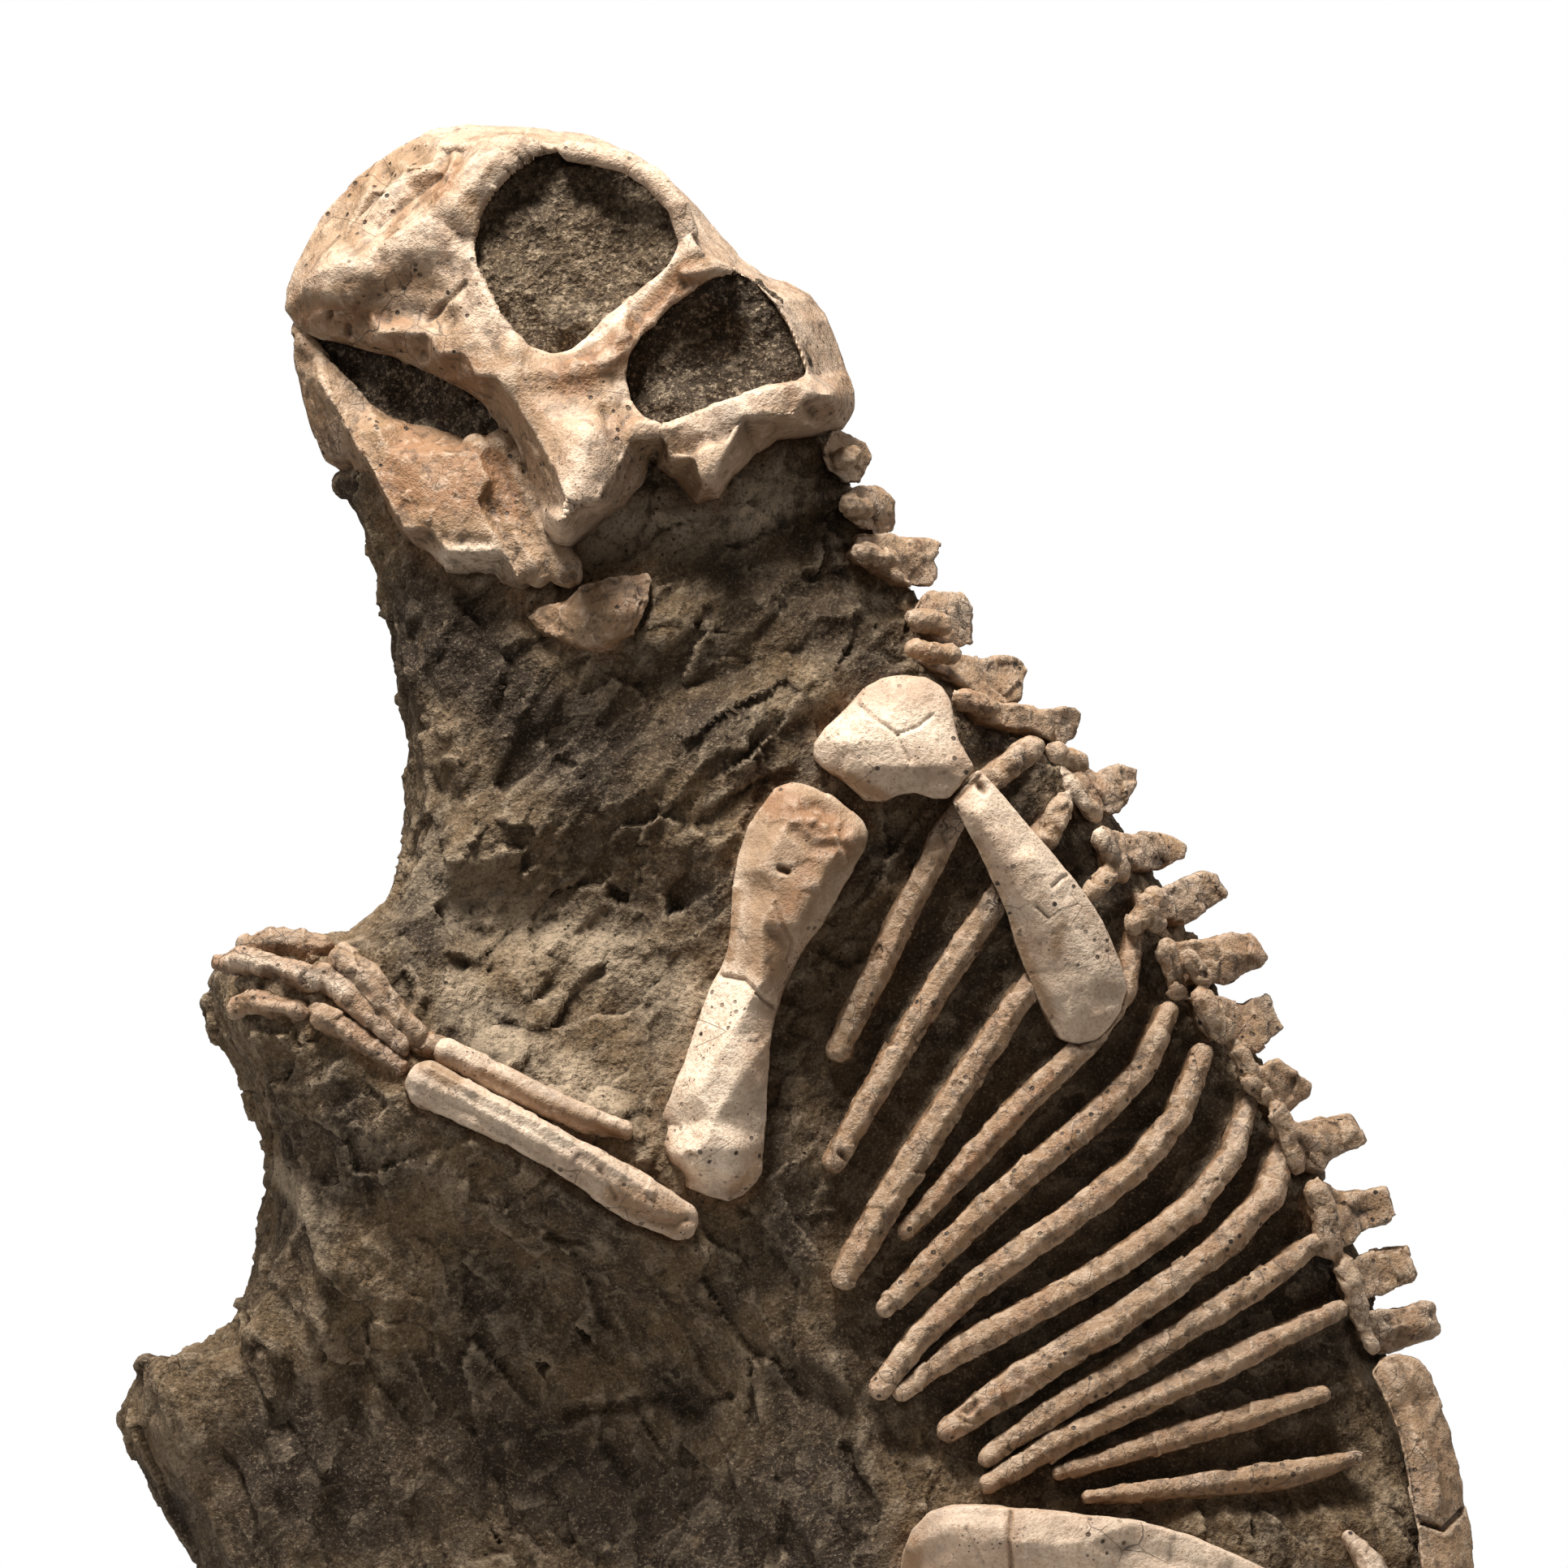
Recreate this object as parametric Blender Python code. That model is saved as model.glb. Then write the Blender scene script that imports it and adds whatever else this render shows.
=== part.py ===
"""A psittacosaurus skeleton lying in its block of rock, the block standing upright on a flat base.

The skull looks to the left, the neck and back run down the right side, and the left arm, ribs and leg
lie on the front. Outlines are drawn in pixels of the picture they were traced from, u to the right and
v downwards, and one scale turns them into metres. Depths are in millimetres from the middle plane of
the skeleton towards the viewer, who looks along +Y.
"""

import math

import bmesh
import bpy
import numpy as np
from mathutils import Vector, noise
from mathutils.geometry import delaunay_2d_cdt

# Driving sizes, in metres
SKULL_LENGTH = 0.157
GAP = 0.00035
ROCK_GAP = 0.0006

# The traced picture: the skull's length in it, and the pixel that stands at the origin
SKULL_LENGTH_PX = 712.0
ORIGIN_U = 1003.6
BASE_V = 2440.0
# How far in front of the skeleton's middle plane the middle of the whole block lies, in millimetres
BLOCK_MIDDLE = 2.4
METRES_PER_PX = SKULL_LENGTH / SKULL_LENGTH_PX
MM = 0.001

PALE_BONE = ("pale_bone", (0.56, 0.45, 0.35), 0.62)
TAN_BONE = ("tan_bone", (0.42, 0.30, 0.20), 0.66)
BROWN_ROCK = ("brown_rock", (0.15, 0.115, 0.08), 0.9)

# The rock: its left and right edges as seen from the front, top to bottom, as (u, v)
ROCK_LEFT_EDGE = [
    (600, 528), (440, 556), (408, 585), (428, 620), (443, 655), (453, 683), (465, 717),
    (476, 763), (481, 800), (487, 850), (493, 900), (497, 960), (498, 1010), (497, 1060),
    (488, 1085), (470, 1110), (446, 1140), (424, 1150), (318, 1163), (274, 1182),
    (258, 1208), (256, 1235), (246, 1257), (262, 1288), (291, 1320), (304, 1355),
    (321, 1400), (331, 1440), (321, 1480), (308, 1530), (299, 1580), (282, 1625),
    (266, 1658), (178, 1675), (160, 1690), (158, 1720), (146, 1757), (155, 1795),
    (170, 1830), (210, 1870), (236, 1932), (244, 2000), (236, 2080), (222, 2160),
    (205, 2240), (190, 2320), (178, 2400), (174, 2440),
]
ROCK_RIGHT_EDGE = [
    (1022, 528), (1034, 556), (1044, 585), (1056, 620), (1070, 655), (1088, 683),
    (1122, 720), (1150, 763), (1180, 805), (1232, 850), (1282, 900), (1340, 955),
    (1378, 1010), (1418, 1060), (1462, 1140), (1498, 1208), (1536, 1270), (1572, 1340),
    (1604, 1400), (1630, 1440), (1652, 1480), (1672, 1530), (1690, 1580), (1700, 1625),
    (1710, 1665), (1742, 1720), (1768, 1795), (1790, 1870), (1800, 1932), (1806, 2000),
    (1808, 2080), (1808, 2160), (1806, 2240), (1804, 2320), (1804, 2400), (1806, 2440),
]
# Levels at which the rock's rings lie
ROCK_LEVELS = [
    528, 556, 585, 620, 660, 717, 763, 805, 850, 900, 955, 1010, 1060, 1090, 1120, 1150,
    1180, 1208, 1240, 1280, 1320, 1360, 1400, 1440, 1485, 1535, 1585, 1630, 1662, 1680,
    1710, 1757, 1800, 1860, 1932, 2010, 2100, 2200, 2320, 2440,
]
# How far the rock's front stands forward, as (u, v, millimetres)
ROCK_FRONT_SPOTS = [
    (500, 590, 20), (620, 590, 24), (800, 570, 32), (980, 580, 26), (560, 660, 24),
    (500, 720, 28), (650, 700, 29), (720, 740, 36), (900, 700, 36), (1060, 720, 24),
    (520, 850, 34), (750, 850, 40), (1000, 840, 36), (1180, 870, 26),
    (560, 1000, 36), (760, 1000, 35), (930, 950, 40), (1300, 1000, 24),
    (540, 1120, 36), (700, 1120, 29), (850, 1150, 34), (980, 1060, 41),
    (290, 1215, 54), (400, 1220, 53), (480, 1250, 53),
    (540, 1300, 53), (650, 1350, 55), (760, 1400, 54), (850, 1460, 50),
    (540, 1410, 58), (700, 1490, 56), (820, 1550, 51),
    (620, 1240, 39), (740, 1290, 38), (820, 1300, 39),
    (350, 1450, 44), (340, 1650, 38), (200, 1760, 28), (260, 1850, 30),
    (480, 1600, 45), (650, 1650, 38), (830, 1710, 32), (480, 1850, 33), (700, 1900, 29),
    (880, 1880, 33),
    (960, 1400, 45), (980, 1600, 44), (1000, 1800, 42),
    (1080, 1150, 37), (1160, 1100, 37), (1270, 1080, 35), (1120, 1320, 39),
    (1250, 1350, 37), (1400, 1270, 29), (1500, 1300, 22),
    (1100, 1540, 40), (1300, 1550, 37), (1450, 1500, 31), (1600, 1450, 20),
    (1180, 1740, 39), (1400, 1700, 33), (1550, 1650, 27), (1680, 1600, 18),
    (1400, 1830, 33), (1600, 1830, 24), (1700, 1790, 21),
    (1100, 1860, 44), (1250, 1960, 47), (1500, 1980, 42), (1750, 1960, 28),
    (300, 2150, 42), (700, 2150, 43), (1100, 2150, 52), (1500, 2150, 46), (1780, 2150, 34),
    (200, 2440, 60), (700, 2440, 66), (1200, 2440, 68), (1780, 2440, 54),
]
# How far its back stands behind the middle plane, as (u, v, millimetres)
ROCK_BACK_SPOTS = [
    (600, 560, 26), (950, 580, 24), (500, 800, 32), (800, 850, 36), (1150, 850, 26),
    (560, 1050, 36), (900, 1100, 44), (1300, 1050, 30), (320, 1250, 30), (700, 1400, 50),
    (1200, 1400, 46), (1560, 1400, 26), (300, 1800, 34), (800, 1850, 54), (1300, 1850, 50),
    (1740, 1850, 30), (250, 2440, 52), (900, 2440, 62), (1750, 2440, 50),
]
ROCK_FRONT_STEPS = 18
ROCK_BACK_STEPS = 7
ROCK_EDGE_ROUNDING_PX = 95.0
ROCK_LUMP = 0.0022
ROCK_LUMP_SIZE = 0.024
ROCK_SEED = 11

# The head. Outline points are (u, v, rounding): how far from the edge the bone turns over, in pixels
SKULL_OUTLINE = [
    (348, 378, 34), (352, 352, 45), (364, 320, 60), (390, 268, 65), (412, 241, 65),
    (437, 215, 65), (466, 194, 65), (498, 172, 65), (532, 156, 60), (575, 150, 50),
    (640, 153, 40), (700, 159, 38), (745, 170, 38), (785, 189, 42), (822, 216, 48),
    (855, 248, 58), (885, 284, 52), (914, 317, 48), (944, 338, 48), (970, 345, 50),
    (998, 361, 52), (1019, 388, 52), (1033, 422, 48), (1043, 452, 40), (1052, 480, 30),
    (1053, 502, 24), (1038, 527, 18), (1010, 531, 12), (962, 540, 12), (930, 560, 12),
    (906, 586, 12), (890, 618, 12), (874, 636, 10), (852, 621, 10), (826, 594, 10),
    (806, 572, 8), (799, 592, 8), (775, 620, 10), (742, 642, 12), (716, 664, 12),
    (700, 675, 10), (686, 672, 10), (670, 654, 10), (663, 626, 10), (652, 596, 10),
    (637, 560, 10), (620, 528, 10), (600, 500, 10), (574, 481, 10), (545, 466, 10),
    (512, 451, 10), (484, 437, 12), (450, 430, 14), (422, 422, 16), (392, 416, 18),
    (364, 400, 22),
]
SKULL_SPOTS = [
    (350, 380, 8), (372, 330, 13), (420, 250, 17), (500, 180, 21), (600, 160, 25),
    (700, 170, 29), (800, 215, 34), (880, 290, 40), (960, 350, 42), (1030, 430, 44),
    (440, 280, 16), (500, 230, 18), (550, 200, 23), (450, 335, 25), (520, 300, 31),
    (590, 225, 34), (400, 370, 20), (460, 380, 24), (520, 360, 28), (400, 405, 21),
    (480, 420, 28), (560, 370, 36), (560, 420, 39), (620, 470, 45), (700, 450, 46),
    (590, 330, 40), (640, 190, 34), (740, 200, 36), (820, 250, 42), (850, 310, 48),
    (800, 350, 46), (740, 400, 46), (690, 440, 46), (780, 440, 48), (870, 340, 50),
    (700, 520, 52), (716, 556, 60), (690, 640, 66), (660, 580, 55), (770, 590, 56),
    (775, 530, 52), (820, 545, 56), (870, 560, 58), (872, 620, 58), (900, 510, 52),
    (960, 500, 52), (1020, 500, 47), (990, 400, 45), (985, 455, 47), (820, 590, 52),
]
ORBIT = [
    (583, 300), (588, 262), (604, 232), (630, 203), (657, 184), (692, 183), (732, 190),
    (768, 202), (797, 222), (818, 248), (833, 274), (838, 300), (828, 326), (804, 346),
    (774, 369), (742, 396), (722, 419), (704, 433), (680, 437), (655, 428), (632, 412),
    (614, 388), (600, 358), (588, 333),
]
TEMPLE = [
    (903, 334), (930, 348), (954, 373), (972, 402), (985, 434), (994, 462), (974, 475),
    (944, 478), (914, 492), (880, 503), (846, 519), (818, 532), (797, 519), (780, 500),
    (771, 470), (774, 440), (790, 412), (815, 388), (840, 368), (862, 352), (884, 341),
]
MOUTH = [
    (374, 406), (400, 412), (430, 418), (460, 426), (490, 434), (520, 446), (552, 462),
    (580, 476), (604, 498), (622, 524), (634, 550), (612, 556), (588, 552), (556, 548),
    (520, 538), (486, 526), (458, 508), (438, 484), (418, 464), (398, 448), (382, 430),
]
JAW_OUTLINE = [
    (362, 408, 25), (374, 422, 15), (392, 438, 12), (414, 454, 12), (434, 472, 12),
    (452, 495, 12), (476, 511, 12), (505, 521, 12), (540, 528, 12), (573, 534, 12),
    (594, 536, 12), (606, 542, 12), (618, 562, 12), (631, 588, 12), (642, 614, 12),
    (650, 640, 12), (659, 664, 12), (672, 686, 12), (688, 702, 12), (672, 722, 14),
    (642, 742, 12), (615, 729, 14), (598, 719, 14), (574, 716, 14), (543, 713, 14),
    (518, 704, 16), (498, 692, 18), (482, 676, 20), (466, 654, 22), (451, 630, 26),
    (438, 598, 30), (420, 575, 34), (398, 564, 40), (383, 534, 45), (375, 505, 45),
    (367, 478, 45), (361, 448, 40), (359, 425, 32),
]
JAW_SPOTS = [
    (362, 410, 9), (365, 470, 13), (385, 530, 19), (420, 450, 17), (450, 500, 22),
    (440, 560, 26), (520, 530, 30), (520, 620, 37), (580, 560, 36), (620, 580, 40),
    (600, 640, 42), (540, 690, 40), (480, 640, 33), (640, 660, 44), (650, 720, 43),
    (600, 705, 42), (680, 700, 45), (575, 600, 40),
]
THROAT_OUTLINE = [
    (650, 760), (672, 744), (697, 738), (722, 721), (748, 712), (776, 707), (799, 703),
    (804, 716), (797, 744), (788, 772), (770, 799), (742, 807), (718, 797), (690, 787),
    (662, 777),
]
THROAT_SPOTS = [
    (655, 762, 39), (700, 745, 43), (716, 778, 47), (790, 712, 44), (770, 760, 47), (745, 800, 43),
]

# Shoulder and upper arm, flat bones on the front, as outlines (u, v) and spots (u, v, millimetres)
CORACOID_OUTLINE = [
    (1002, 932), (1004, 914), (1018, 896), (1036, 880), (1054, 863), (1066, 846),
    (1086, 836), (1112, 832), (1140, 835), (1160, 847), (1172, 866), (1175, 890),
    (1181, 913), (1192, 932), (1199, 945), (1184, 965), (1168, 983), (1150, 984),
    (1128, 976), (1108, 979), (1090, 987), (1068, 985), (1052, 972), (1034, 956),
    (1014, 944),
]
CORACOID_SPOTS = [
    (1010, 925, 50), (1080, 870, 50), (1150, 860, 50), (1090, 930, 53), (1075, 975, 50),
    (1180, 955, 54),
]
SCAPULA_OUTLINE = [
    (1173, 987), (1188, 968), (1204, 949), (1223, 966), (1246, 993), (1276, 1029),
    (1306, 1063), (1336, 1101), (1358, 1135), (1374, 1170), (1385, 1203), (1388, 1218),
    (1381, 1241), (1368, 1265), (1350, 1281), (1328, 1287), (1306, 1279), (1295, 1261),
    (1281, 1235), (1265, 1200), (1250, 1162), (1240, 1125), (1224, 1087), (1204, 1047),
    (1186, 1012),
]
SCAPULA_SPOTS = [
    (1190, 968, 54), (1250, 1050, 53), (1300, 1130, 50), (1350, 1200, 46), (1335, 1275, 44),
    (1270, 1180, 49),
]
HUMERUS_OUTLINE = [
    (938, 992), (954, 971), (976, 963), (1000, 968), (1025, 980), (1048, 998),
    (1064, 1012), (1070, 1026), (1066, 1046), (1054, 1066), (1042, 1086), (1030, 1110),
    (1014, 1136), (998, 1158), (985, 1176), (974, 1197), (965, 1218), (957, 1242),
    (950, 1272), (946, 1310), (943, 1355), (940, 1400), (938, 1432), (931, 1456),
    (917, 1470), (898, 1478), (874, 1472), (850, 1462), (825, 1451), (807, 1440),
    (800, 1424), (804, 1402), (815, 1374), (829, 1344), (841, 1311), (852, 1280),
    (862, 1250), (874, 1220), (889, 1192), (897, 1168), (900, 1140), (902, 1110),
    (905, 1080), (911, 1050), (922, 1018),
]
HUMERUS_SPOTS = [
    (960, 990, 56), (1040, 1030, 57), (950, 1080, 58), (940, 1200, 59), (900, 1320, 61),
    (870, 1430, 62), (930, 1450, 59), (815, 1420, 58),
]

# Long round bones that lie on the rock's face, as (u, v, half width in pixels)
RADIUS_BONE = [(549, 1292, 15), (600, 1317, 15), (660, 1348, 15), (720, 1374, 13), (772, 1391, 8)]
ULNA_BONE = [
    (524, 1330, 26), (580, 1358, 24), (640, 1388, 22), (700, 1421, 23), (760, 1456, 26),
    (812, 1488, 28), (842, 1503, 20),
]
# Bones of the hand, as (u, v, depth, half width in pixels)
METACARPALS = [
    [
        (517, 1276, 55, 12), (489, 1249, 55, 14), (461, 1216, 54, 15), (437, 1189, 52, 19),
        (420, 1177, 51, 14),
    ],
    [
        (497, 1291, 56, 12), (465, 1259, 55, 13), (436, 1230, 54, 13), (412, 1208, 53, 17),
        (400, 1198, 52, 13),
    ],
    [(496, 1317, 56, 14), (460, 1291, 55, 15), (425, 1267, 54, 15), (394, 1247, 54, 16)],
]
FINGERS = [
    [
        (402, 1166, 48, 13), (380, 1160, 46, 14), (352, 1160, 45, 13), (322, 1159, 42, 13),
        (301, 1164, 39, 8),
    ],
    [
        (390, 1206, 53, 12), (370, 1201, 52, 15), (345, 1192, 50, 15), (310, 1182, 46, 14),
        (284, 1182, 42, 13), (268, 1187, 39, 7),
    ],
    [
        (374, 1245, 53, 14), (352, 1241, 52, 16), (330, 1233, 50, 15), (308, 1237, 47, 13),
        (290, 1243, 44, 8),
    ],
]
# How far the middle of each kind of round bone lies above the rock, in millimetres
FOREARM_LIFT = 2.8
LEG_LIFT = 3.0
FOOT_LIFT = 1.8
RIB_LIFT = 2.6
RIBS = [
    [
        (1031, 1297, 14), (1048, 1258, 17), (1078, 1200, 17), (1108, 1140, 16), (1135, 1085, 16),
        (1159, 1035, 16), (1187, 990, 15), (1222, 952, 16), (1264, 922, 12),
    ],
    [
        (1027, 1432, 13), (1045, 1400, 17), (1080, 1341, 17), (1120, 1271, 17), (1160, 1207, 16),
        (1197, 1152, 17), (1224, 1112, 17), (1252, 1068, 16), (1280, 1030, 17), (1312, 990, 14),
    ],
    [
        (1038, 1577, 16), (1062, 1535, 19), (1100, 1466, 19), (1140, 1401, 18), (1182, 1338, 18),
        (1225, 1275, 17), (1262, 1222, 15), (1300, 1165, 15), (1332, 1115, 15), (1360, 1076, 14),
    ],
    [
        (1115, 1517, 12), (1152, 1478, 15), (1200, 1421, 16), (1250, 1371, 17), (1300, 1321, 16),
        (1342, 1283, 15), (1376, 1240, 14), (1398, 1200, 13), (1405, 1168, 12), (1400, 1142, 9),
    ],
    [
        (1088, 1612, 12), (1124, 1575, 16), (1172, 1530, 18), (1224, 1480, 18), (1280, 1432, 17),
        (1340, 1385, 17), (1388, 1340, 17), (1420, 1300, 16), (1440, 1268, 15), (1443, 1243, 11),
    ],
    [
        (1082, 1712, 12), (1120, 1662, 16), (1170, 1607, 17), (1230, 1560, 18), (1300, 1511, 18),
        (1368, 1463, 18), (1420, 1418, 18), (1455, 1370, 17), (1475, 1330, 15), (1483, 1296, 12),
    ],
    [
        (1108, 1716, 9), (1150, 1681, 15), (1220, 1640, 18), (1290, 1605, 18), (1360, 1565, 18),
        (1420, 1525, 17), (1474, 1484, 17), (1505, 1450, 15), (1525, 1410, 14), (1540, 1366, 12),
        (1546, 1340, 10),
    ],
    [
        (1166, 1763, 14), (1200, 1736, 19), (1260, 1697, 20), (1330, 1656, 20), (1400, 1611, 20),
        (1470, 1562, 20), (1528, 1514, 19), (1566, 1472, 18), (1586, 1430, 16), (1588, 1396, 13),
    ],
    [
        (1214, 1797, 10), (1270, 1757, 17), (1330, 1717, 18), (1400, 1675, 17), (1470, 1631, 17),
        (1540, 1590, 17), (1598, 1550, 16), (1622, 1532, 11),
    ],
    [
        (1216, 1828, 11), (1270, 1793, 16), (1340, 1757, 17), (1420, 1720, 17), (1500, 1686, 16),
        (1580, 1646, 15), (1640, 1620, 13), (1655, 1613, 11),
    ],
    [
        (1302, 1815, 8), (1350, 1800, 13), (1420, 1779, 14), (1490, 1758, 15), (1560, 1740, 15),
        (1616, 1724, 13), (1632, 1718, 9),
    ],
    [
        (1338, 1843, 8), (1400, 1836, 11), (1470, 1829, 15), (1540, 1822, 16), (1600, 1814, 15),
        (1650, 1802, 12), (1676, 1796, 8),
    ],
]

# Vertebrae down the neck and back: outline, then spots for the front face
VERTEBRAE = {
    "neck_vertebra_1": (
        [
            (1026, 528), (1050, 534), (1067, 545), (1073, 563), (1067, 580), (1059, 592),
            (1040, 594), (1022, 578), (1014, 552),
        ],
        [(1030, 560, 25), (1060, 565, 15), (1045, 535, 19)],
    ),
    "neck_vertebra_2": (
        [
            (1056, 597), (1080, 597), (1092, 606), (1101, 616), (1100, 629), (1103, 641),
            (1098, 652), (1084, 655), (1060, 650), (1038, 636), (1036, 612),
        ],
        [(1045, 625, 26), (1090, 625, 14), (1070, 600, 19)],
    ),
    "neck_vertebra_3": (
        [
            (1094, 657), (1120, 660), (1148, 664), (1160, 668), (1156, 678), (1149, 689),
            (1155, 699), (1155, 711), (1146, 721), (1126, 722), (1102, 712), (1078, 698),
            (1050, 680), (1056, 660),
        ],
        [(1060, 672, 27), (1100, 690, 20), (1150, 670, 8)],
    ),
    "neck_vertebra_4": (
        [
            (1142, 728), (1165, 728), (1187, 729), (1197, 741), (1200, 753), (1197, 766),
            (1199, 781), (1198, 792), (1180, 798), (1156, 790), (1134, 772), (1126, 748),
        ],
        [(1135, 765, 24), (1165, 780, 19), (1190, 740, 10)],
    ),
    "neck_vertebra_5": (
        [
            (1150, 798), (1172, 802), (1192, 808), (1216, 813), (1240, 809), (1255, 811),
            (1268, 825), (1260, 841), (1256, 860), (1240, 868), (1214, 860), (1188, 842),
            (1150, 824), (1136, 812),
        ],
        [(1150, 812, 27), (1200, 835, 22), (1258, 825, 9), (1245, 858, 15)],
    ),
    "neck_vertebra_6": (
        [
            (1252, 867), (1280, 875), (1302, 873), (1325, 870), (1335, 879), (1331, 894),
            (1323, 908), (1309, 917), (1288, 908), (1268, 896), (1240, 896), (1204, 882),
            (1192, 868), (1206, 857), (1228, 866),
        ],
        [(1210, 870, 29), (1260, 882, 22), (1325, 880, 9), (1305, 908, 14)],
    ),
    "back_vertebra_1": (
        [
            (1302, 922), (1322, 922), (1334, 940), (1352, 953), (1370, 945), (1386, 943),
            (1403, 948), (1401, 966), (1390, 983), (1381, 1002), (1366, 1003), (1352, 1000),
            (1342, 1012), (1332, 1000), (1322, 980), (1308, 955),
        ],
        [(1312, 935, 22), (1335, 990, 28), (1360, 985, 18), (1395, 955, 8)],
    ),
    "back_vertebra_2": (
        [
            (1352, 1022), (1372, 1022), (1396, 1031), (1410, 1028), (1430, 1026), (1450, 1030),
            (1464, 1043), (1460, 1056), (1445, 1065), (1430, 1073), (1410, 1070), (1394, 1066),
            (1384, 1082), (1368, 1072), (1352, 1052),
        ],
        [(1365, 1045, 29), (1380, 1070, 27), (1402, 1050, 17), (1455, 1045, 6)],
    ),
    "back_vertebra_3": (
        [
            (1400, 1100), (1420, 1104), (1440, 1092), (1462, 1082), (1486, 1074), (1500, 1077),
            (1515, 1100), (1510, 1109), (1490, 1120), (1475, 1133), (1462, 1139), (1444, 1132),
            (1426, 1142), (1408, 1126),
        ],
        [(1412, 1118, 27), (1430, 1125, 22), (1450, 1108, 14), (1505, 1092, 6)],
    ),
    "back_vertebra_4": (
        [
            (1432, 1158), (1450, 1160), (1472, 1160), (1496, 1158), (1520, 1150), (1542, 1151),
            (1555, 1166), (1564, 1182), (1555, 1192), (1530, 1203), (1510, 1214), (1488, 1208),
            (1466, 1204), (1456, 1224), (1444, 1208), (1434, 1182),
        ],
        [(1442, 1175, 26), (1454, 1212, 25), (1480, 1185, 17), (1555, 1175, 6)],
    ),
    "back_vertebra_5": (
        [
            (1470, 1226), (1494, 1226), (1516, 1232), (1535, 1238), (1550, 1230), (1562, 1225),
            (1568, 1229), (1573, 1246), (1587, 1268), (1570, 1281), (1552, 1299), (1534, 1292),
            (1512, 1276), (1494, 1284), (1478, 1262),
        ],
        [(1482, 1245, 24), (1498, 1270, 22), (1520, 1262, 14), (1575, 1262, 6)],
    ),
    "back_vertebra_6": (
        [
            (1532, 1322), (1548, 1318), (1562, 1312), (1577, 1306), (1586, 1316), (1602, 1326),
            (1618, 1338), (1617, 1352), (1601, 1364), (1590, 1373), (1572, 1372), (1556, 1352),
            (1540, 1346),
        ],
        [(1542, 1332, 20), (1570, 1360, 14), (1575, 1310, 12), (1610, 1342, 6)],
    ),
    "back_vertebra_7": (
        [
            (1576, 1380), (1600, 1383), (1625, 1380), (1650, 1377), (1667, 1375), (1677, 1390),
            (1685, 1408), (1675, 1418), (1655, 1425), (1640, 1433), (1632, 1446), (1614, 1440),
            (1600, 1420), (1584, 1400),
        ],
        [(1588, 1392, 19), (1618, 1425, 15), (1640, 1400, 9), (1678, 1400, 6)],
    ),
    "back_vertebra_8": (
        [
            (1614, 1464), (1634, 1458), (1655, 1470), (1680, 1470), (1710, 1466), (1718, 1481),
            (1725, 1500), (1715, 1508), (1695, 1515), (1680, 1521), (1670, 1534), (1650, 1540),
            (1630, 1524), (1616, 1500),
        ],
        [(1625, 1480, 20), (1640, 1520, 20), (1665, 1500, 11), (1715, 1490, 6)],
    ),
    "back_vertebra_9": (
        [
            (1656, 1556), (1674, 1552), (1692, 1545), (1715, 1540), (1738, 1536), (1745, 1555),
            (1750, 1573), (1744, 1581), (1720, 1590), (1703, 1599), (1688, 1600), (1670, 1604),
            (1660, 1580),
        ],
        [(1666, 1575, 18), (1678, 1598, 17), (1695, 1572, 10), (1742, 1565, 6)],
    ),
    "back_vertebra_10": (
        [
            (1682, 1620), (1704, 1616), (1735, 1613), (1755, 1609), (1768, 1610), (1775, 1630),
            (1779, 1645), (1770, 1652), (1745, 1658), (1725, 1667), (1710, 1668), (1694, 1658),
            (1682, 1640),
        ],
        [(1690, 1640, 16), (1712, 1660, 11), (1735, 1612, 8), (1770, 1640, 6)],
    ),
}
VERTEBRA_THICKNESS = 9.0
# Facets that meet at less than this angle are made one
FLAT_ENOUGH = math.radians(3)

# Hip, leg and tail
ILIUM_OUTLINE = [
    (1690, 1692), (1700, 1677), (1722, 1670), (1750, 1677), (1764, 1695), (1774, 1725),
    (1786, 1758), (1796, 1795), (1803, 1830), (1807, 1860), (1814, 1884), (1816, 1920),
    (1820, 1965), (1817, 2010), (1802, 2048), (1782, 2060), (1766, 2020), (1756, 1970),
    (1751, 1925), (1747, 1885), (1738, 1848), (1734, 1810), (1722, 1762), (1704, 1716),
]
ILIUM_SPOTS = [
    (1700, 1700, 26), (1750, 1780, 27), (1775, 1870, 30), (1790, 1960, 33), (1790, 2040, 34),
    (1806, 1860, 22), (1760, 1700, 19),
]
PUBIS_BONE = [(1662, 1890, 8), (1678, 1912, 14), (1702, 1942, 18), (1718, 1972, 17), (1728, 2000, 12)]
FEMUR_OUTLINE = [
    (1106, 1948), (1110, 1912), (1124, 1880), (1145, 1859), (1168, 1851), (1202, 1850),
    (1262, 1855), (1332, 1861), (1402, 1870), (1456, 1886), (1520, 1912), (1584, 1942),
    (1650, 1982), (1710, 2016), (1756, 2050), (1776, 2092), (1762, 2132), (1722, 2150),
    (1676, 2142), (1632, 2108), (1564, 2064), (1484, 2026), (1392, 1996), (1302, 1986),
    (1222, 1996), (1166, 2010), (1126, 1996),
]
FEMUR_SPOTS = [
    (1130, 1930, 60), (1250, 1920, 64), (1400, 1935, 62), (1560, 1990, 56), (1700, 2070, 50),
    (1745, 2110, 46),
]
TIBIA_BONE = [
    (1172, 2052, 42), (1228, 2092, 34), (1320, 2148, 26), (1420, 2206, 24), (1520, 2264, 28),
    (1576, 2296, 36),
]
FIBULA_BONE = [(1282, 2052, 15), (1350, 2096, 12), (1440, 2150, 11), (1530, 2204, 12), (1606, 2250, 15)]
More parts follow.
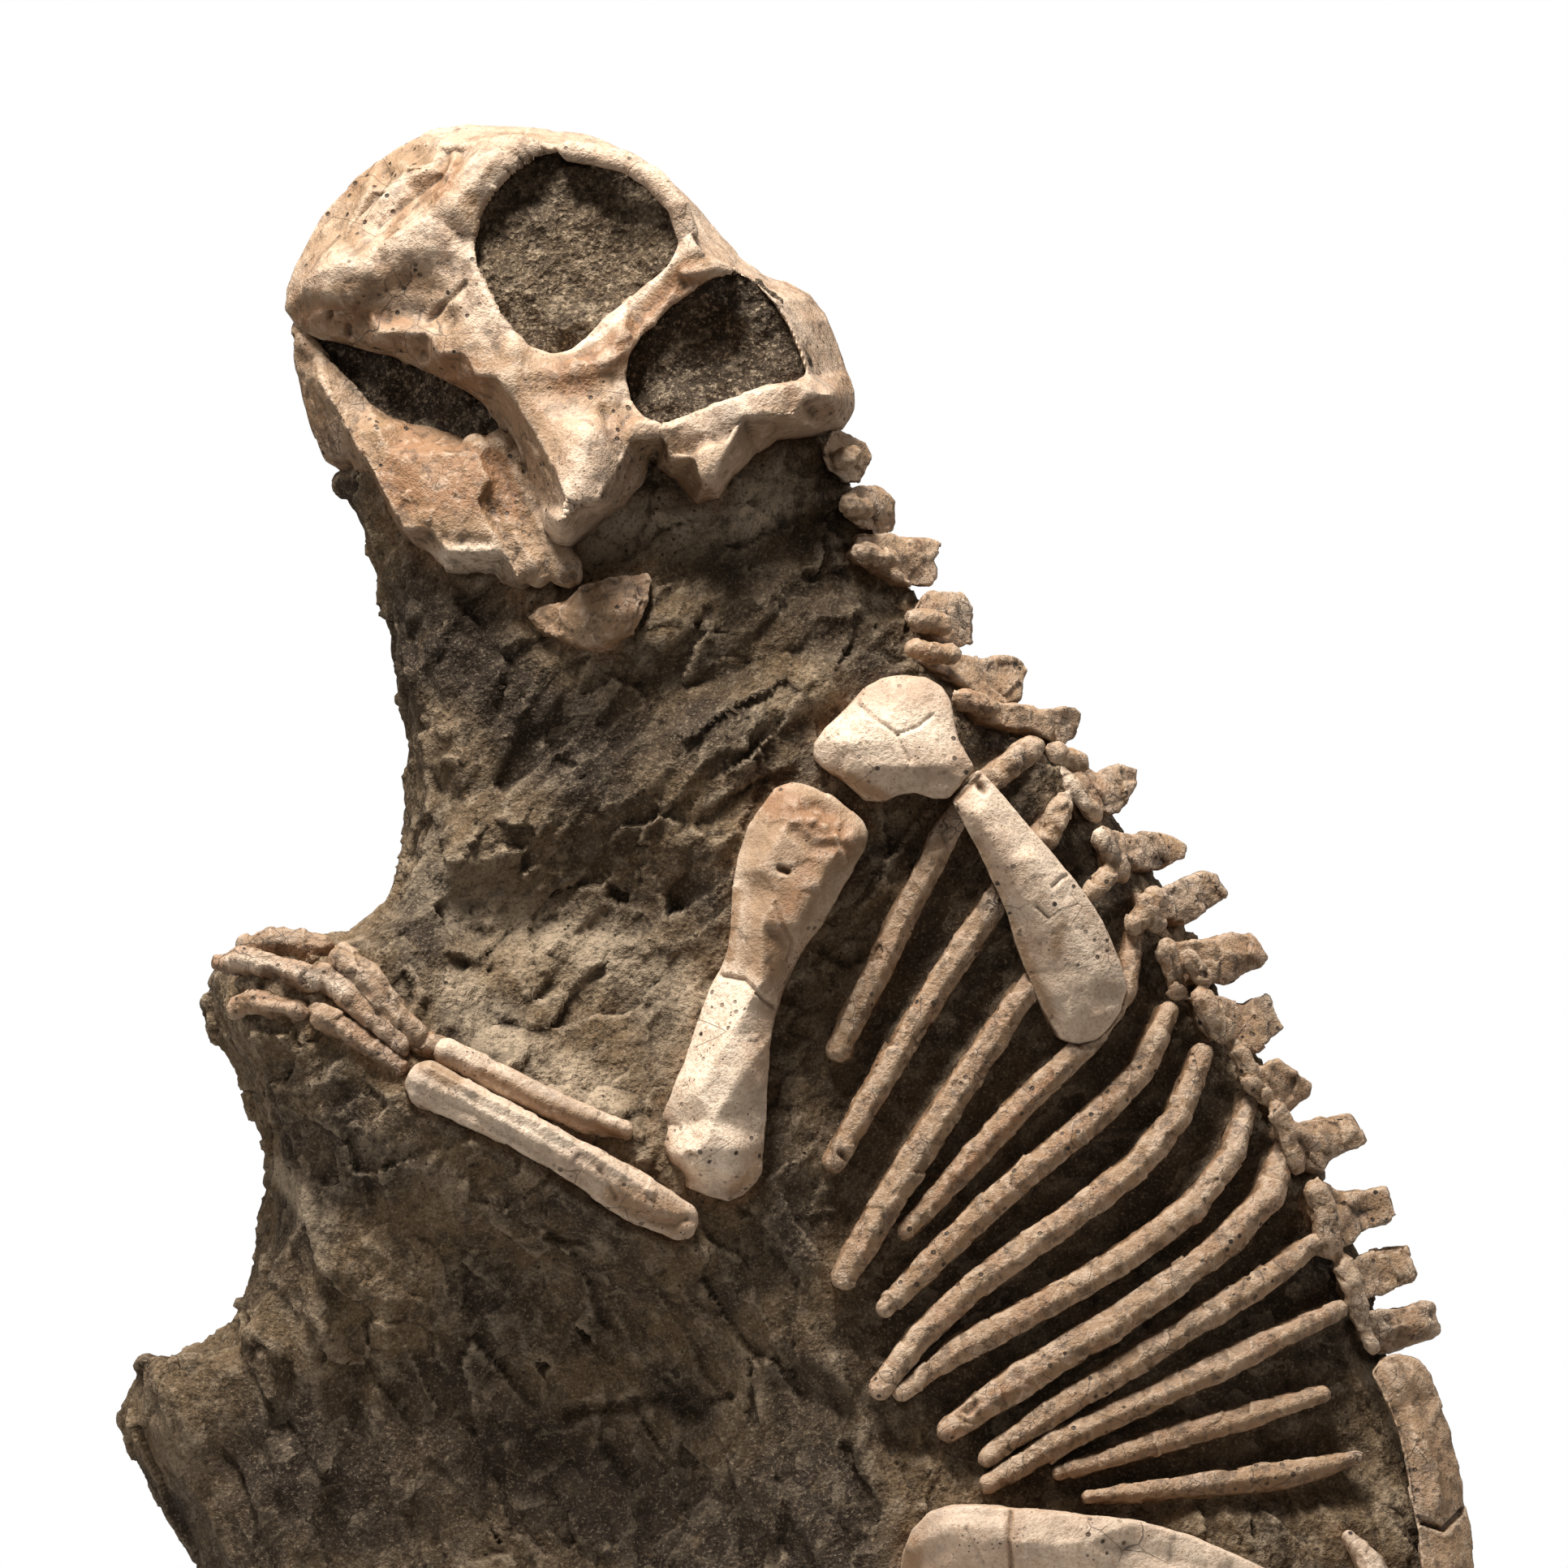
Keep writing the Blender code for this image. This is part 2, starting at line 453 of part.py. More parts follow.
FOOT_RAYS = {
    "foot_ray_1": [
        (1556, 2348, 18), (1450, 2338, 15), (1330, 2330, 15), (1262, 2326, 20), (1190, 2324, 15),
        (1120, 2330, 15), (1072, 2338, 7),
    ],
    "foot_ray_2": [
        (1562, 2384, 19), (1440, 2376, 16), (1310, 2370, 17), (1240, 2368, 21), (1160, 2368, 16),
        (1076, 2374, 16), (1016, 2384, 8),
    ],
    "foot_ray_3": [
        (1552, 2420, 15), (1440, 2414, 14), (1330, 2410, 14), (1268, 2408, 18), (1200, 2410, 14),
        (1120, 2416, 8),
    ],
}
TAIL_TOP = (1806, 2104)
TAIL_STEP_V = 84
TAIL_COUNT = 4
TAIL_DEPTH = 20
TAIL_OUTLINE = [
    (-46, -26), (-8, -33), (12, -22), (30, -28), (50, -24), (54, -4), (34, 6), (16, 10), (4, 30),
    (-30, 30), (-50, 8),
]
TAIL_SPOTS = [(-40, 0, 12), (0, 25, 0), (0, -25, 0), (50, 0, -10)]


def place(u, v, depth):
    """The point in metres, to the nearest micrometre, of pixel (u, v) at a depth in millimetres."""
    x, y, z = (u - ORIGIN_U) * METRES_PER_PX, (BLOCK_MIDDLE - depth) * MM, (BASE_V - v) * METRES_PER_PX
    return Vector((round(x, 6), round(y, 6), round(z, 6)))


def smooth_line(points, step, closed=False):
    """A smooth curve through the points, sampled every step pixels; they may carry more than u and v."""
    knots = np.array(points, float)
    count = len(knots)
    spans = count if closed else count - 1
    samples = []
    for i in range(spans):
        near = [(i + k) % count if closed else min(max(i + k, 0), count - 1) for k in (-1, 0, 1, 2)]
        before, start, end, after = knots[near]
        pieces = max(1, round(np.linalg.norm((end - start)[:2]) / step))
        for t in np.arange(pieces) / pieces:
            samples.append(
                0.5
                * (
                    2 * start
                    + (end - before) * t
                    + (2 * before - 5 * start + 4 * end - after) * t**2
                    + (3 * start - before - 3 * end + after) * t**3
                )
            )
    if not closed:
        samples.append(knots[-1])
    return np.array(samples)


def even_line(points, step):
    """A smooth curve through the points at even distances of about step pixels."""
    fine = smooth_line(points, 6)
    along = np.concatenate([[0], np.cumsum(np.linalg.norm(np.diff(fine[:, :2], axis=0), axis=1))])
    stops = np.linspace(0, along[-1], max(3, round(along[-1] / step) + 1))
    return np.stack([np.interp(stops, along, fine[:, k]) for k in range(fine.shape[1])], axis=1)


def spot_field(spots):
    """A smooth sheet through the spots (u, v, value), as a function of u and v."""
    table = np.array(spots, float)
    knots = table[:, :2] / 100.0

    def bend(distance):
        return distance**2 * np.log(distance + 1e-9)

    count = len(knots)
    system = np.zeros((count + 3, count + 3))
    system[:count, :count] = bend(np.linalg.norm(knots[:, None] - knots[None], axis=2))
    system[:count, count] = system[count, :count] = 1
    system[:count, count + 1 :] = knots
    system[count + 1 :, :count] = knots.T
    weights = np.linalg.solve(system, np.concatenate([table[:, 2], np.zeros(3)]))

    def value(u, v):
        here = np.stack([np.ravel(u), np.ravel(v)], axis=1) / 100.0
        bends = bend(np.linalg.norm(here[:, None] - knots[None], axis=2))
        flat = bends @ weights[:count] + weights[count] + here @ weights[count + 1 :]
        return flat.reshape(np.shape(u))

    return value


def nearest_on_loop(loop, points):
    """(distance, extra number of the loop there) from each point to a closed loop of (u, v, extra)."""
    start = loop
    end = np.roll(loop, -1, axis=0)
    along = (end - start)[:, :2]
    offset = points[:, None] - start[None, :, :2]
    share = np.clip((offset * along).sum(2) / np.maximum((along**2).sum(1), 1e-9), 0, 1)
    distance = np.linalg.norm(offset - share[..., None] * along, axis=2)
    index = distance.argmin(axis=1)
    rows = np.arange(len(points))
    extra = start[index, 2] + share[rows, index] * (end[index, 2] - start[index, 2])
    return distance[rows, index], extra


def inside_loop(loop, points):
    """Which points lie inside a closed loop."""
    u, v = points[:, 0, None], points[:, 1, None]
    start, end = loop, np.roll(loop, -1, axis=0)
    crosses = (start[:, 1] > v) != (end[:, 1] > v)
    rise = np.where(end[:, 1] == start[:, 1], 1e-9, end[:, 1] - start[:, 1])
    meets = start[:, 0] + (v - start[:, 1]) / rise * (end[:, 0] - start[:, 0])
    return (crosses & (u < meets)).sum(axis=1) % 2 == 1


def with_rounding(outline, rounding):
    return [(p[0], p[1], p[2] if len(p) > 2 else rounding) for p in outline]


def material_of(kind):
    name, colour, roughness = kind
    made = bpy.data.materials.get(name)
    if made is None:
        made = bpy.data.materials.new(name)
        made.use_nodes = True
        shader = made.node_tree.nodes["Principled BSDF"]
        shader.inputs["Base Color"].default_value = (*colour, 1)
        shader.inputs["Roughness"].default_value = roughness
        made.diffuse_color = (*colour, 1)
    return made


def object_from(name, points, faces, kind):
    mesh = bpy.data.meshes.new(name)
    mesh.from_pydata(points, [], faces)
    shape = bmesh.new()
    shape.from_mesh(mesh)
    bmesh.ops.recalc_face_normals(shape, faces=shape.faces)
    bmesh.ops.triangulate(shape, faces=shape.faces)
    if shape.calc_volume(signed=True) < 0:
        bmesh.ops.reverse_faces(shape, faces=shape.faces)
    shape.to_mesh(mesh)
    shape.free()
    mesh.materials.append(material_of(kind))
    made = bpy.data.objects.new(name, mesh)
    PARTS.objects.link(made)
    return made


def flat_cells(rim, holes, spacing):
    """Points and triangles that fill a loop, leaving out its holes."""
    loops = [rim, *holes]
    low, high = rim[:, :2].min(axis=0), rim[:, :2].max(axis=0)
    rows = np.arange(low[1], high[1], spacing * math.sqrt(3) / 2)
    columns = np.arange(low[0], high[0], spacing)
    grid = np.array([(u + (i % 2) * spacing / 2, v) for i, v in enumerate(rows) for u in columns])
    keep = inside_loop(rim, grid)
    for loop in loops:
        keep &= nearest_on_loop(loop, grid)[0] > spacing * 0.62
    for hole in holes:
        keep &= ~inside_loop(hole, grid)
    points = np.concatenate([loop[:, :2] for loop in loops] + [grid[keep]])
    edges, first = [], 0
    for loop in loops:
        count = len(loop)
        edges += [(first + i, first + (i + 1) % count) for i in range(count)]
        first += count
    verts, _, faces, *_ = delaunay_2d_cdt([Vector(p) for p in points], edges, [], 0, 1e-5)
    cells = np.array([tuple(p) for p in verts])
    faces = np.array([f for f in faces if len(f) == 3])
    middle = cells[faces].mean(axis=1)
    kept = inside_loop(rim, middle)
    for hole in holes:
        kept &= ~inside_loop(hole, middle)
    return cells, faces[kept]


def relief(name, outline, front, back, kind, spacing=24, holes=()):
    """A closed bone whose front and back faces are lifted from one outline by two depth functions."""
    rim = smooth_line(outline, spacing, closed=True)
    gaps = [smooth_line([(*p, 0) for p in hole], spacing, closed=True) for hole in holes]
    cells, faces = flat_cells(rim, gaps, spacing)
    distance, rounding = nearest_on_loop(rim, cells)
    for gap in gaps:
        distance = np.minimum(distance, nearest_on_loop(gap, cells)[0] + rounding * 0.45)
    turn = np.clip(distance / np.maximum(rounding, 1), 0, 1)
    rise = np.sqrt(1 - (1 - turn) ** 2)
    ahead = front(cells[:, 0], cells[:, 1], rise, rounding)
    behind = back(cells[:, 0], cells[:, 1], rise, rounding)
    count = len(cells)
    points = [place(u, v, d) for (u, v), d in zip(cells, ahead)]
    points += [place(u, v, d) for (u, v), d in zip(cells, behind)]
    skin = [tuple(f) for f in faces] + [tuple(f[::-1] + count) for f in faces]
    ends = {(int(a), int(b)) for f in faces for a, b in zip(f, np.roll(f, -1))}
    skin += [(b, a, a + count, b + count) for a, b in ends if (b, a) not in ends]
    return object_from(name, points, skin, kind)


def edge_share(rounding):
    """How much of its depth a mirrored bone keeps at its edge: little where it turns over slowly."""
    return np.clip((46 - rounding) / 46 * 0.75, 0.06, 0.6)


def mirrored_relief(name, outline, spots, kind, spacing, holes=()):
    """A bone with like left and right sides about the middle plane."""
    half_width = spot_field(spots)

    def front(u, v, rise, rounding):
        share = edge_share(rounding)
        return np.maximum(half_width(u, v) * (share + (1 - share) * rise), 1.0)

    def back(u, v, rise, rounding):
        return -front(u, v, rise, rounding)

    return relief(name, outline, front, back, kind, spacing, holes)


def flat_bone(name, outline, spots, thickness, kind, rounding=26, crown=5.0, spacing=24):
    """A bone that lies on the front of the rock, its upper face crowned by that many millimetres."""
    level = spot_field(spots)

    def front(u, v, rise, _):
        return level(u, v) - crown * (1 - rise)

    def back(u, v, rise, _):
        return level(u, v) - thickness + 0.3 * crown * (1 - rise)

    return relief(name, with_rounding(outline, rounding), front, back, kind, spacing)


def fill_of(name, outline, spots, inset, behind):
    """Rock that fills a hole of the skull on both sides, its face set back from the bone around it."""
    half_width = spot_field(spots)
    loop = np.array([(*p, 0) for p in outline], float)
    centre = loop[:, :2].mean(axis=0)
    shrunk = loop.copy()
    tangent = np.roll(loop, -1, axis=0)[:, :2] - np.roll(loop, 1, axis=0)[:, :2]
    normal = np.stack([tangent[:, 1], -tangent[:, 0]], axis=1)
    normal /= np.linalg.norm(normal, axis=1)[:, None]
    outward = np.sign(((loop[:, :2] - centre) * normal).sum())
    shrunk[:, :2] -= outward * normal * inset
    steps = [(p[0], p[1], 14) for p in shrunk]

    def front(u, v, rise, _):
        return np.maximum(half_width(u, v) - behind + 2.5 * (1 - rise), 3.0)

    def back(u, v, rise, rounding):
        return -front(u, v, rise, rounding)

    return relief(name, steps, front, back, BROWN_ROCK, 50)


def tube_bone(name, stations, kind, sides=8, step=42):
    """A round bone along stations (u, v, depth, half width), with rounded ends."""
    line = even_line(stations, step)
    curve = bpy.data.curves.new(name, "CURVE")
    curve.dimensions = "3D"
    curve.bevel_depth = 1.0
    curve.bevel_resolution = (sides - 4) // 2
    curve.use_fill_caps = True
    centres = [place(*p[:3]) for p in line]
    radii = [p[3] * METRES_PER_PX for p in line]
    for end, inner in ((0, 1), (-1, -2)):
        outward = (centres[end] - centres[inner]).normalized()
        tip = centres[end] + outward * radii[end] * 0.55
        index = 0 if end == 0 else len(centres)
        centres.insert(index, tip)
        radii.insert(index, radii[end] * 0.55)
    spline = curve.splines.new("POLY")
    spline.points.add(len(centres) - 1)
    for point, centre, radius in zip(spline.points, centres, radii):
        point.co = (*centre, 1)
        point.radius = radius
    guide = bpy.data.objects.new(name + "_guide", curve)
    bpy.context.scene.collection.objects.link(guide)
    graph = bpy.context.evaluated_depsgraph_get()
    mesh = bpy.data.meshes.new_from_object(guide.evaluated_get(graph))
    mesh.transform(guide.matrix_world)
    bpy.data.objects.remove(guide)
    shape = bmesh.new()
    shape.from_mesh(mesh)
    bmesh.ops.remove_doubles(shape, verts=shape.verts, dist=1e-6)
    bmesh.ops.triangulate(shape, faces=shape.faces)
    bmesh.ops.recalc_face_normals(shape, faces=shape.faces)
    shape.to_mesh(mesh)
    shape.free()
    mesh.materials.clear()
    mesh.materials.append(material_of(kind))
    made = bpy.data.objects.new(name, mesh)
    PARTS.objects.link(made)
    return made


def edge_at(edge, v):
    table = np.array(edge, float)
    return float(np.interp(v, table[:, 1], table[:, 0]))


def rock_depths(field, u, v, left, right):
    """Depth of the rock's face, turning over at both edges."""
    room = np.minimum(u - left, right - u)
    turn = np.clip(room / ROCK_EDGE_ROUNDING_PX, 0, 1)
    return field(u, np.full_like(u, v)) * np.sqrt(1 - (1 - turn) ** 2)


def lumpy(point, v):
    """A point of the rock's skin pushed about by the broken surface, and left flat at the base."""
    wander = noise.noise_vector(point / ROCK_LUMP_SIZE)
    wander += 0.5 * noise.noise_vector(point / (ROCK_LUMP_SIZE * 0.45))
    fade = min(1.0, (BASE_V - v) / 60.0)
    return point + Vector((wander.x * 0.6, wander.y, wander.z * 0.5)) * ROCK_LUMP * fade


def rock_block():
    """The rock, lofted through level rings that follow its traced edges and its spot depths."""
    noise.seed_set(ROCK_SEED)
    front, back = spot_field(ROCK_FRONT_SPOTS), spot_field(ROCK_BACK_SPOTS)
    even = np.linspace(0, 1, ROCK_FRONT_STEPS + 1)
    ahead = 0.55 * even + 0.45 * (0.5 - 0.5 * np.cos(math.pi * even))
    even = np.linspace(0, 1, ROCK_BACK_STEPS + 1)[1:-1]
    behind = 0.55 * even + 0.45 * (0.5 - 0.5 * np.cos(math.pi * even))
    points, ring = [], len(ahead) + len(behind)
    for v in ROCK_LEVELS:
        left, right = edge_at(ROCK_LEFT_EDGE, v), edge_at(ROCK_RIGHT_EDGE, v)
        u = left + (right - left) * ahead
        loop = [place(a, v, d) for a, d in zip(u, rock_depths(front, u, v, left, right))]
        u = right + (left - right) * behind
        loop += [place(a, v, -d) for a, d in zip(u, rock_depths(back, u, v, left, right))]
        points += [lumpy(p, v) for p in loop]
    faces = [tuple(range(ring)), tuple(range(len(points) - ring, len(points)))]
    for row in range(len(ROCK_LEVELS) - 1):
        for k in range(ring):
            a, b = row * ring + k, row * ring + (k + 1) % ring
            faces.append((a, b, b + ring, a + ring))
    return object_from("rock", points, faces, BROWN_ROCK)


def grown_copy(shape, gap):
    """A helper solid that is larger than a piece by the gap all round, for cutting its neighbours."""
    mesh = shape.data.copy()
    form = bmesh.new()
    form.from_mesh(mesh)
    form.normal_update()
    moves = [v.normal * gap for v in form.verts]
    for vert, move in zip(form.verts, moves):
        vert.co += move
    form.to_mesh(mesh)
    form.free()
    helper = bpy.data.objects.new(shape.name + "_cutter", mesh)
    CUTTERS.objects.link(helper)
    helper.hide_render = True
    helper.display_type = "WIRE"
    return helper


def bounds_of(shape):
    corners = np.array([v.co for v in shape.data.vertices])
    return corners.min(axis=0), corners.max(axis=0)


def near(first, second):
    (low_a, high_a), (low_b, high_b) = bounds_of(first), bounds_of(second)
    return bool(((low_a < high_b) & (low_b < high_a)).all())


def keep_main_body(mesh):
    """Removes crumbs that a cut leaves beside the main body."""
    form = bmesh.new()
    form.from_mesh(mesh)
    bmesh.ops.remove_doubles(form, verts=form.verts, dist=2e-6)
    bmesh.ops.dissolve_degenerate(form, edges=form.edges, dist=5e-6)
    bmesh.ops.dissolve_limit(form, angle_limit=FLAT_ENOUGH, verts=form.verts, edges=form.edges)
    bmesh.ops.triangulate(form, faces=form.faces)
    unseen, bodies = set(form.faces), []
    while unseen:
        stack, body = [unseen.pop()], []
        while stack:
            face = stack.pop()
            body.append(face)
            for edge in face.edges:
                for other in edge.link_faces:
                    if other in unseen:
                        unseen.remove(other)
                        stack.append(other)
        bodies.append(body)
    bodies.sort(key=lambda faces: sum(f.calc_area() for f in faces))
    crumbs = [face for body in bodies[:-1] for face in body]
    bmesh.ops.delete(form, geom=crumbs, context="FACES")
    form.to_mesh(mesh)
    form.free()


def cut_clear(shape, cutters):
    """Cuts a piece back from its neighbours, so that a thin gap is left between them."""
    for helper in cutters:
        cut = shape.modifiers.new("clear_" + helper.name, "BOOLEAN")
        cut.operation = "DIFFERENCE"
        cut.solver = "EXACT"
        cut.object = helper
    graph = bpy.context.evaluated_depsgraph_get()
    mesh = bpy.data.meshes.new_from_object(shape.evaluated_get(graph))
    shape.modifiers.clear()
    shape.data = mesh
    keep_main_body(mesh)


def head():
    skull = mirrored_relief("skull", SKULL_OUTLINE, SKULL_SPOTS, PALE_BONE, 30, [ORBIT, TEMPLE])
    jaw = mirrored_relief("lower_jaw", JAW_OUTLINE, JAW_SPOTS, TAN_BONE, 35)
    orbit = fill_of("eye_socket_rock", ORBIT, SKULL_SPOTS, 2.2, 13.0)
    temple = fill_of("temple_rock", TEMPLE, SKULL_SPOTS, 2.2, 15.0)
    mouth = fill_of("mouth_rock", MOUTH, JAW_SPOTS, 0.0, 14.0)
    throat = flat_bone("throat_bone", THROAT_OUTLINE, THROAT_SPOTS, 12, TAN_BONE, 18, 3.0, 30)
    return [skull, jaw, orbit, temple, mouth, throat]


def shoulder_and_arm():
    bones = [
        flat_bone("humerus", HUMERUS_OUTLINE, HUMERUS_SPOTS, 24, PALE_BONE, 42, 8.0, 40),
        flat_bone("coracoid", CORACOID_OUTLINE, CORACOID_SPOTS, 17, PALE_BONE, 26, 4.0, 32),
        flat_bone("scapula", SCAPULA_OUTLINE, SCAPULA_SPOTS, 13, PALE_BONE, 34, 4.5, 32),
        tube_bone("ulna", lie_on_rock(ULNA_BONE, FOREARM_LIFT), PALE_BONE, 6, 56),
        tube_bone("radius", lie_on_rock(RADIUS_BONE, FOREARM_LIFT), PALE_BONE, 6, 50),
    ]
    for i, stations in enumerate(METACARPALS):
        bones.append(tube_bone(f"metacarpal_{i + 1}", stations, TAN_BONE, 6, 36))
    for i, stations in enumerate(FINGERS):
        bones.append(tube_bone(f"finger_{i + 1}", stations, TAN_BONE, 6, 32))
    return bones


def backbone():
    bones = []
    for name, (outline, spots) in VERTEBRAE.items():
        bones.append(flat_bone(name, outline, spots, VERTEBRA_THICKNESS, TAN_BONE, 12, 2.2, 30))
    for i in range(TAIL_COUNT):
        u, v = TAIL_TOP[0], TAIL_TOP[1] + i * TAIL_STEP_V
        outline = [(u + a, v + b) for a, b in TAIL_OUTLINE]
        spots = [(u + a, v + b, TAIL_DEPTH + rise) for a, b, rise in TAIL_SPOTS]
        name = f"tail_vertebra_{i + 1}"
        bones.append(flat_bone(name, outline, spots, VERTEBRA_THICKNESS, TAN_BONE, 12, 2.2, 30))
    return bones


def lie_on_rock(line, lift):
    """Stations (u, v, depth, half width) of a bone that follows the rock's face at a lift above it."""
    face = spot_field(ROCK_FRONT_SPOTS)
    stations = []
    for u, v, half in line:
        left, right = edge_at(ROCK_LEFT_EDGE, v), edge_at(ROCK_RIGHT_EDGE, v)
        here = rock_depths(face, np.array([float(u)]), v, left, right)[0]
        stations.append((u, v, here + lift, half))
    return stations


def ribs():
    """Ribs that lie along the sunken face of the rock between the arm and the backbone."""
    bones = []
    for i, line in enumerate(RIBS):
        bones.append(tube_bone(f"rib_{i + 1}", lie_on_rock(line, RIB_LIFT), TAN_BONE, 6, 80))
    return bones


def hip_and_leg():
    bones = [
        flat_bone("ilium", ILIUM_OUTLINE, ILIUM_SPOTS, 10, TAN_BONE, 18, 3.0, 32),
        flat_bone("femur", FEMUR_OUTLINE, FEMUR_SPOTS, 22, PALE_BONE, 46, 9.0, 52),
        tube_bone("pubis", lie_on_rock(PUBIS_BONE, LEG_LIFT), PALE_BONE, 6),
        tube_bone("tibia", lie_on_rock(TIBIA_BONE, LEG_LIFT), PALE_BONE, 8, 60),
        tube_bone("fibula", lie_on_rock(FIBULA_BONE, FOOT_LIFT), TAN_BONE, 6, 60),
    ]
    for name, line in FOOT_RAYS.items():
        bones.append(tube_bone(name, lie_on_rock(line, FOOT_LIFT), TAN_BONE, 6, 70))
    return bones


def build():
    rock = rock_block()
    bones = [*head(), *shoulder_and_arm(), *hip_and_leg(), *backbone(), *ribs()]
    grown_rock = grown_copy(rock, ROCK_GAP)
    grown = [grown_copy(bone, GAP) for bone in bones]
    for i, bone in enumerate(bones):
        neighbours = [grown[k] for k in range(i) if near(bone, grown[k])]
        cut_clear(bone, [*neighbours, grown_rock])


for old in list(bpy.data.objects):
    bpy.data.objects.remove(old)
PARTS = bpy.data.collections.new("psittacosaurus_skeleton")
CUTTERS = bpy.data.collections.new("cutters")
for group in (PARTS, CUTTERS):
    bpy.context.scene.collection.children.link(group)
build()
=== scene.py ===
"""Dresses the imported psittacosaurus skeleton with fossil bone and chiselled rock, and sets up its stage."""

import math

import bmesh
import bpy
import numpy as np
from bpy.props import FloatProperty, FloatVectorProperty, PointerProperty
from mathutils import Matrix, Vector
from mathutils.bvhtree import BVHTree


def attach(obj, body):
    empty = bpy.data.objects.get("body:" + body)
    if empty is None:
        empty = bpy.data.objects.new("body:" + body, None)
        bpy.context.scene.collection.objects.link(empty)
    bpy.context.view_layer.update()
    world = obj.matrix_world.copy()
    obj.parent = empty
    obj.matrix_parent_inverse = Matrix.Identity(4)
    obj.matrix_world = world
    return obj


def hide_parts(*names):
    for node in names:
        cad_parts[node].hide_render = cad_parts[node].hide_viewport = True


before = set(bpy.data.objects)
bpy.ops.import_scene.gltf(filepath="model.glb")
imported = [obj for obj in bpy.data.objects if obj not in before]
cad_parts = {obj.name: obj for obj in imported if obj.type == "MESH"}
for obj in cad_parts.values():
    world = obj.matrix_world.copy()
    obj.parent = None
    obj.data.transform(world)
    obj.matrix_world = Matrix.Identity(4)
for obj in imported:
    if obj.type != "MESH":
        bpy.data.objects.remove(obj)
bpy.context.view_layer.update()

bl_info = {
    "name": "Fossil psittacosaurus skeleton",
    "version": (1, 0, 0),
    "blender": (4, 5, 0),
    "location": "3D View > Sidebar > Fossil",
    "description": "Makes the bones, the rock and the stage of a small dinosaur fossil",
    "category": "Object",
}

# The drawing plane of the skeleton: metres per pixel, the pixel above which the base's middle lies, the pixel
# row of the base, the depth of the block's middle in millimetres, and the side of the square picture
METRES_PER_PX = 0.157 / 712.0
ORIGIN_U = 1003.6
BASE_V = 2440.0
BLOCK_MIDDLE = 2.4
PHOTO_SIDE = 1932
MM = 0.001

NECK_BONES = [f"neck_vertebra_{i}" for i in range(1, 7)]
BACK_BONES = [f"back_vertebra_{i}" for i in range(1, 11)]
TAIL_BONES = [f"tail_vertebra_{i}" for i in range(1, 5)]
RIB_BONES = [f"rib_{i}" for i in range(1, 13)]
HAND_BONES = [f"metacarpal_{i}" for i in (1, 2, 3)] + [f"finger_{i}" for i in (1, 2, 3)]
FOOT_BONES = [f"foot_ray_{i}" for i in (1, 2, 3)]
BONES = (
    ["skull", "lower_jaw", "throat_bone", "coracoid", "scapula", "humerus", "radius", "ulna"]
    + ["ilium", "pubis", "femur", "tibia", "fibula"]
    + HAND_BONES + FOOT_BONES + NECK_BONES + BACK_BONES + TAIL_BONES + RIB_BONES
)

# How near the rock a bone counts as touching it, and how far from the bones the stain reaches, in metres
TOUCHING = 1.6 * MM
STAIN_REACH = 9 * MM

# The rock is made fine in front of this plane, in metres, and above this pixel row, and coarse elsewhere
FINE_IN_FRONT_OF = 4 * MM
FINE_ABOVE_V = 1990
ROCK_TRIANGLES = 184000
COARSE_ROCK_TRIANGLES = 40000

# What each fossil bone gives the eye, as (share of pale bone, crazing, wear): scraped bone is smooth and
# pale, weathered bone is chalky with brown patches, stained bone is dark, rough and crazed
BONE_LOOKS = {
    "scraped fossil bone": (0.6, 0.15, 0.25),
    "weathered fossil bone": (0.42, 0.2, 0.65),
    "stained fossil bone": (0.15, 0.85, 0.9),
}

# What each sandstone gives the eye, as how gritty it is: chiselled faces, or grit left in the openings
ROCK_LOOKS = {"chiselled tuff sandstone": 0.0, "gritty tuff sandstone": 1.0}

# Cloudy patches in the bone and in the rock, as (patch in millimetres, detail, roughness). A patch is half
# as wide as the pattern's cell. Pits lie about 3.8 mm apart in the bone and specks about 3.3 mm in the rock,
# and the pin holes and the grit about 1.6 mm.
BONE_CLOUDS = (
    (18, 2.0, 0.55), (16, 4.0, 0.6), (10, 4.0, 0.65), (6, 4.0, 0.72), (5, 3.0, 0.6), (3, 3.0, 0.75),
    (2.2, 3.0, 0.75), (2.1, 3.0, 0.68), (0.5, 2.0, 0.75),
)
ROCK_CLOUDS = (
    (20, 5.0, 0.68), (7, 4.0, 0.72), (6, 2.0, 0.6), (5, 3.0, 0.7), (4, 4.0, 0.75), (2.5, 3.0, 0.75),
    (2, 4.0, 0.74), (1.1, 2.0, 0.7), (0.45, 2.0, 0.8),
)

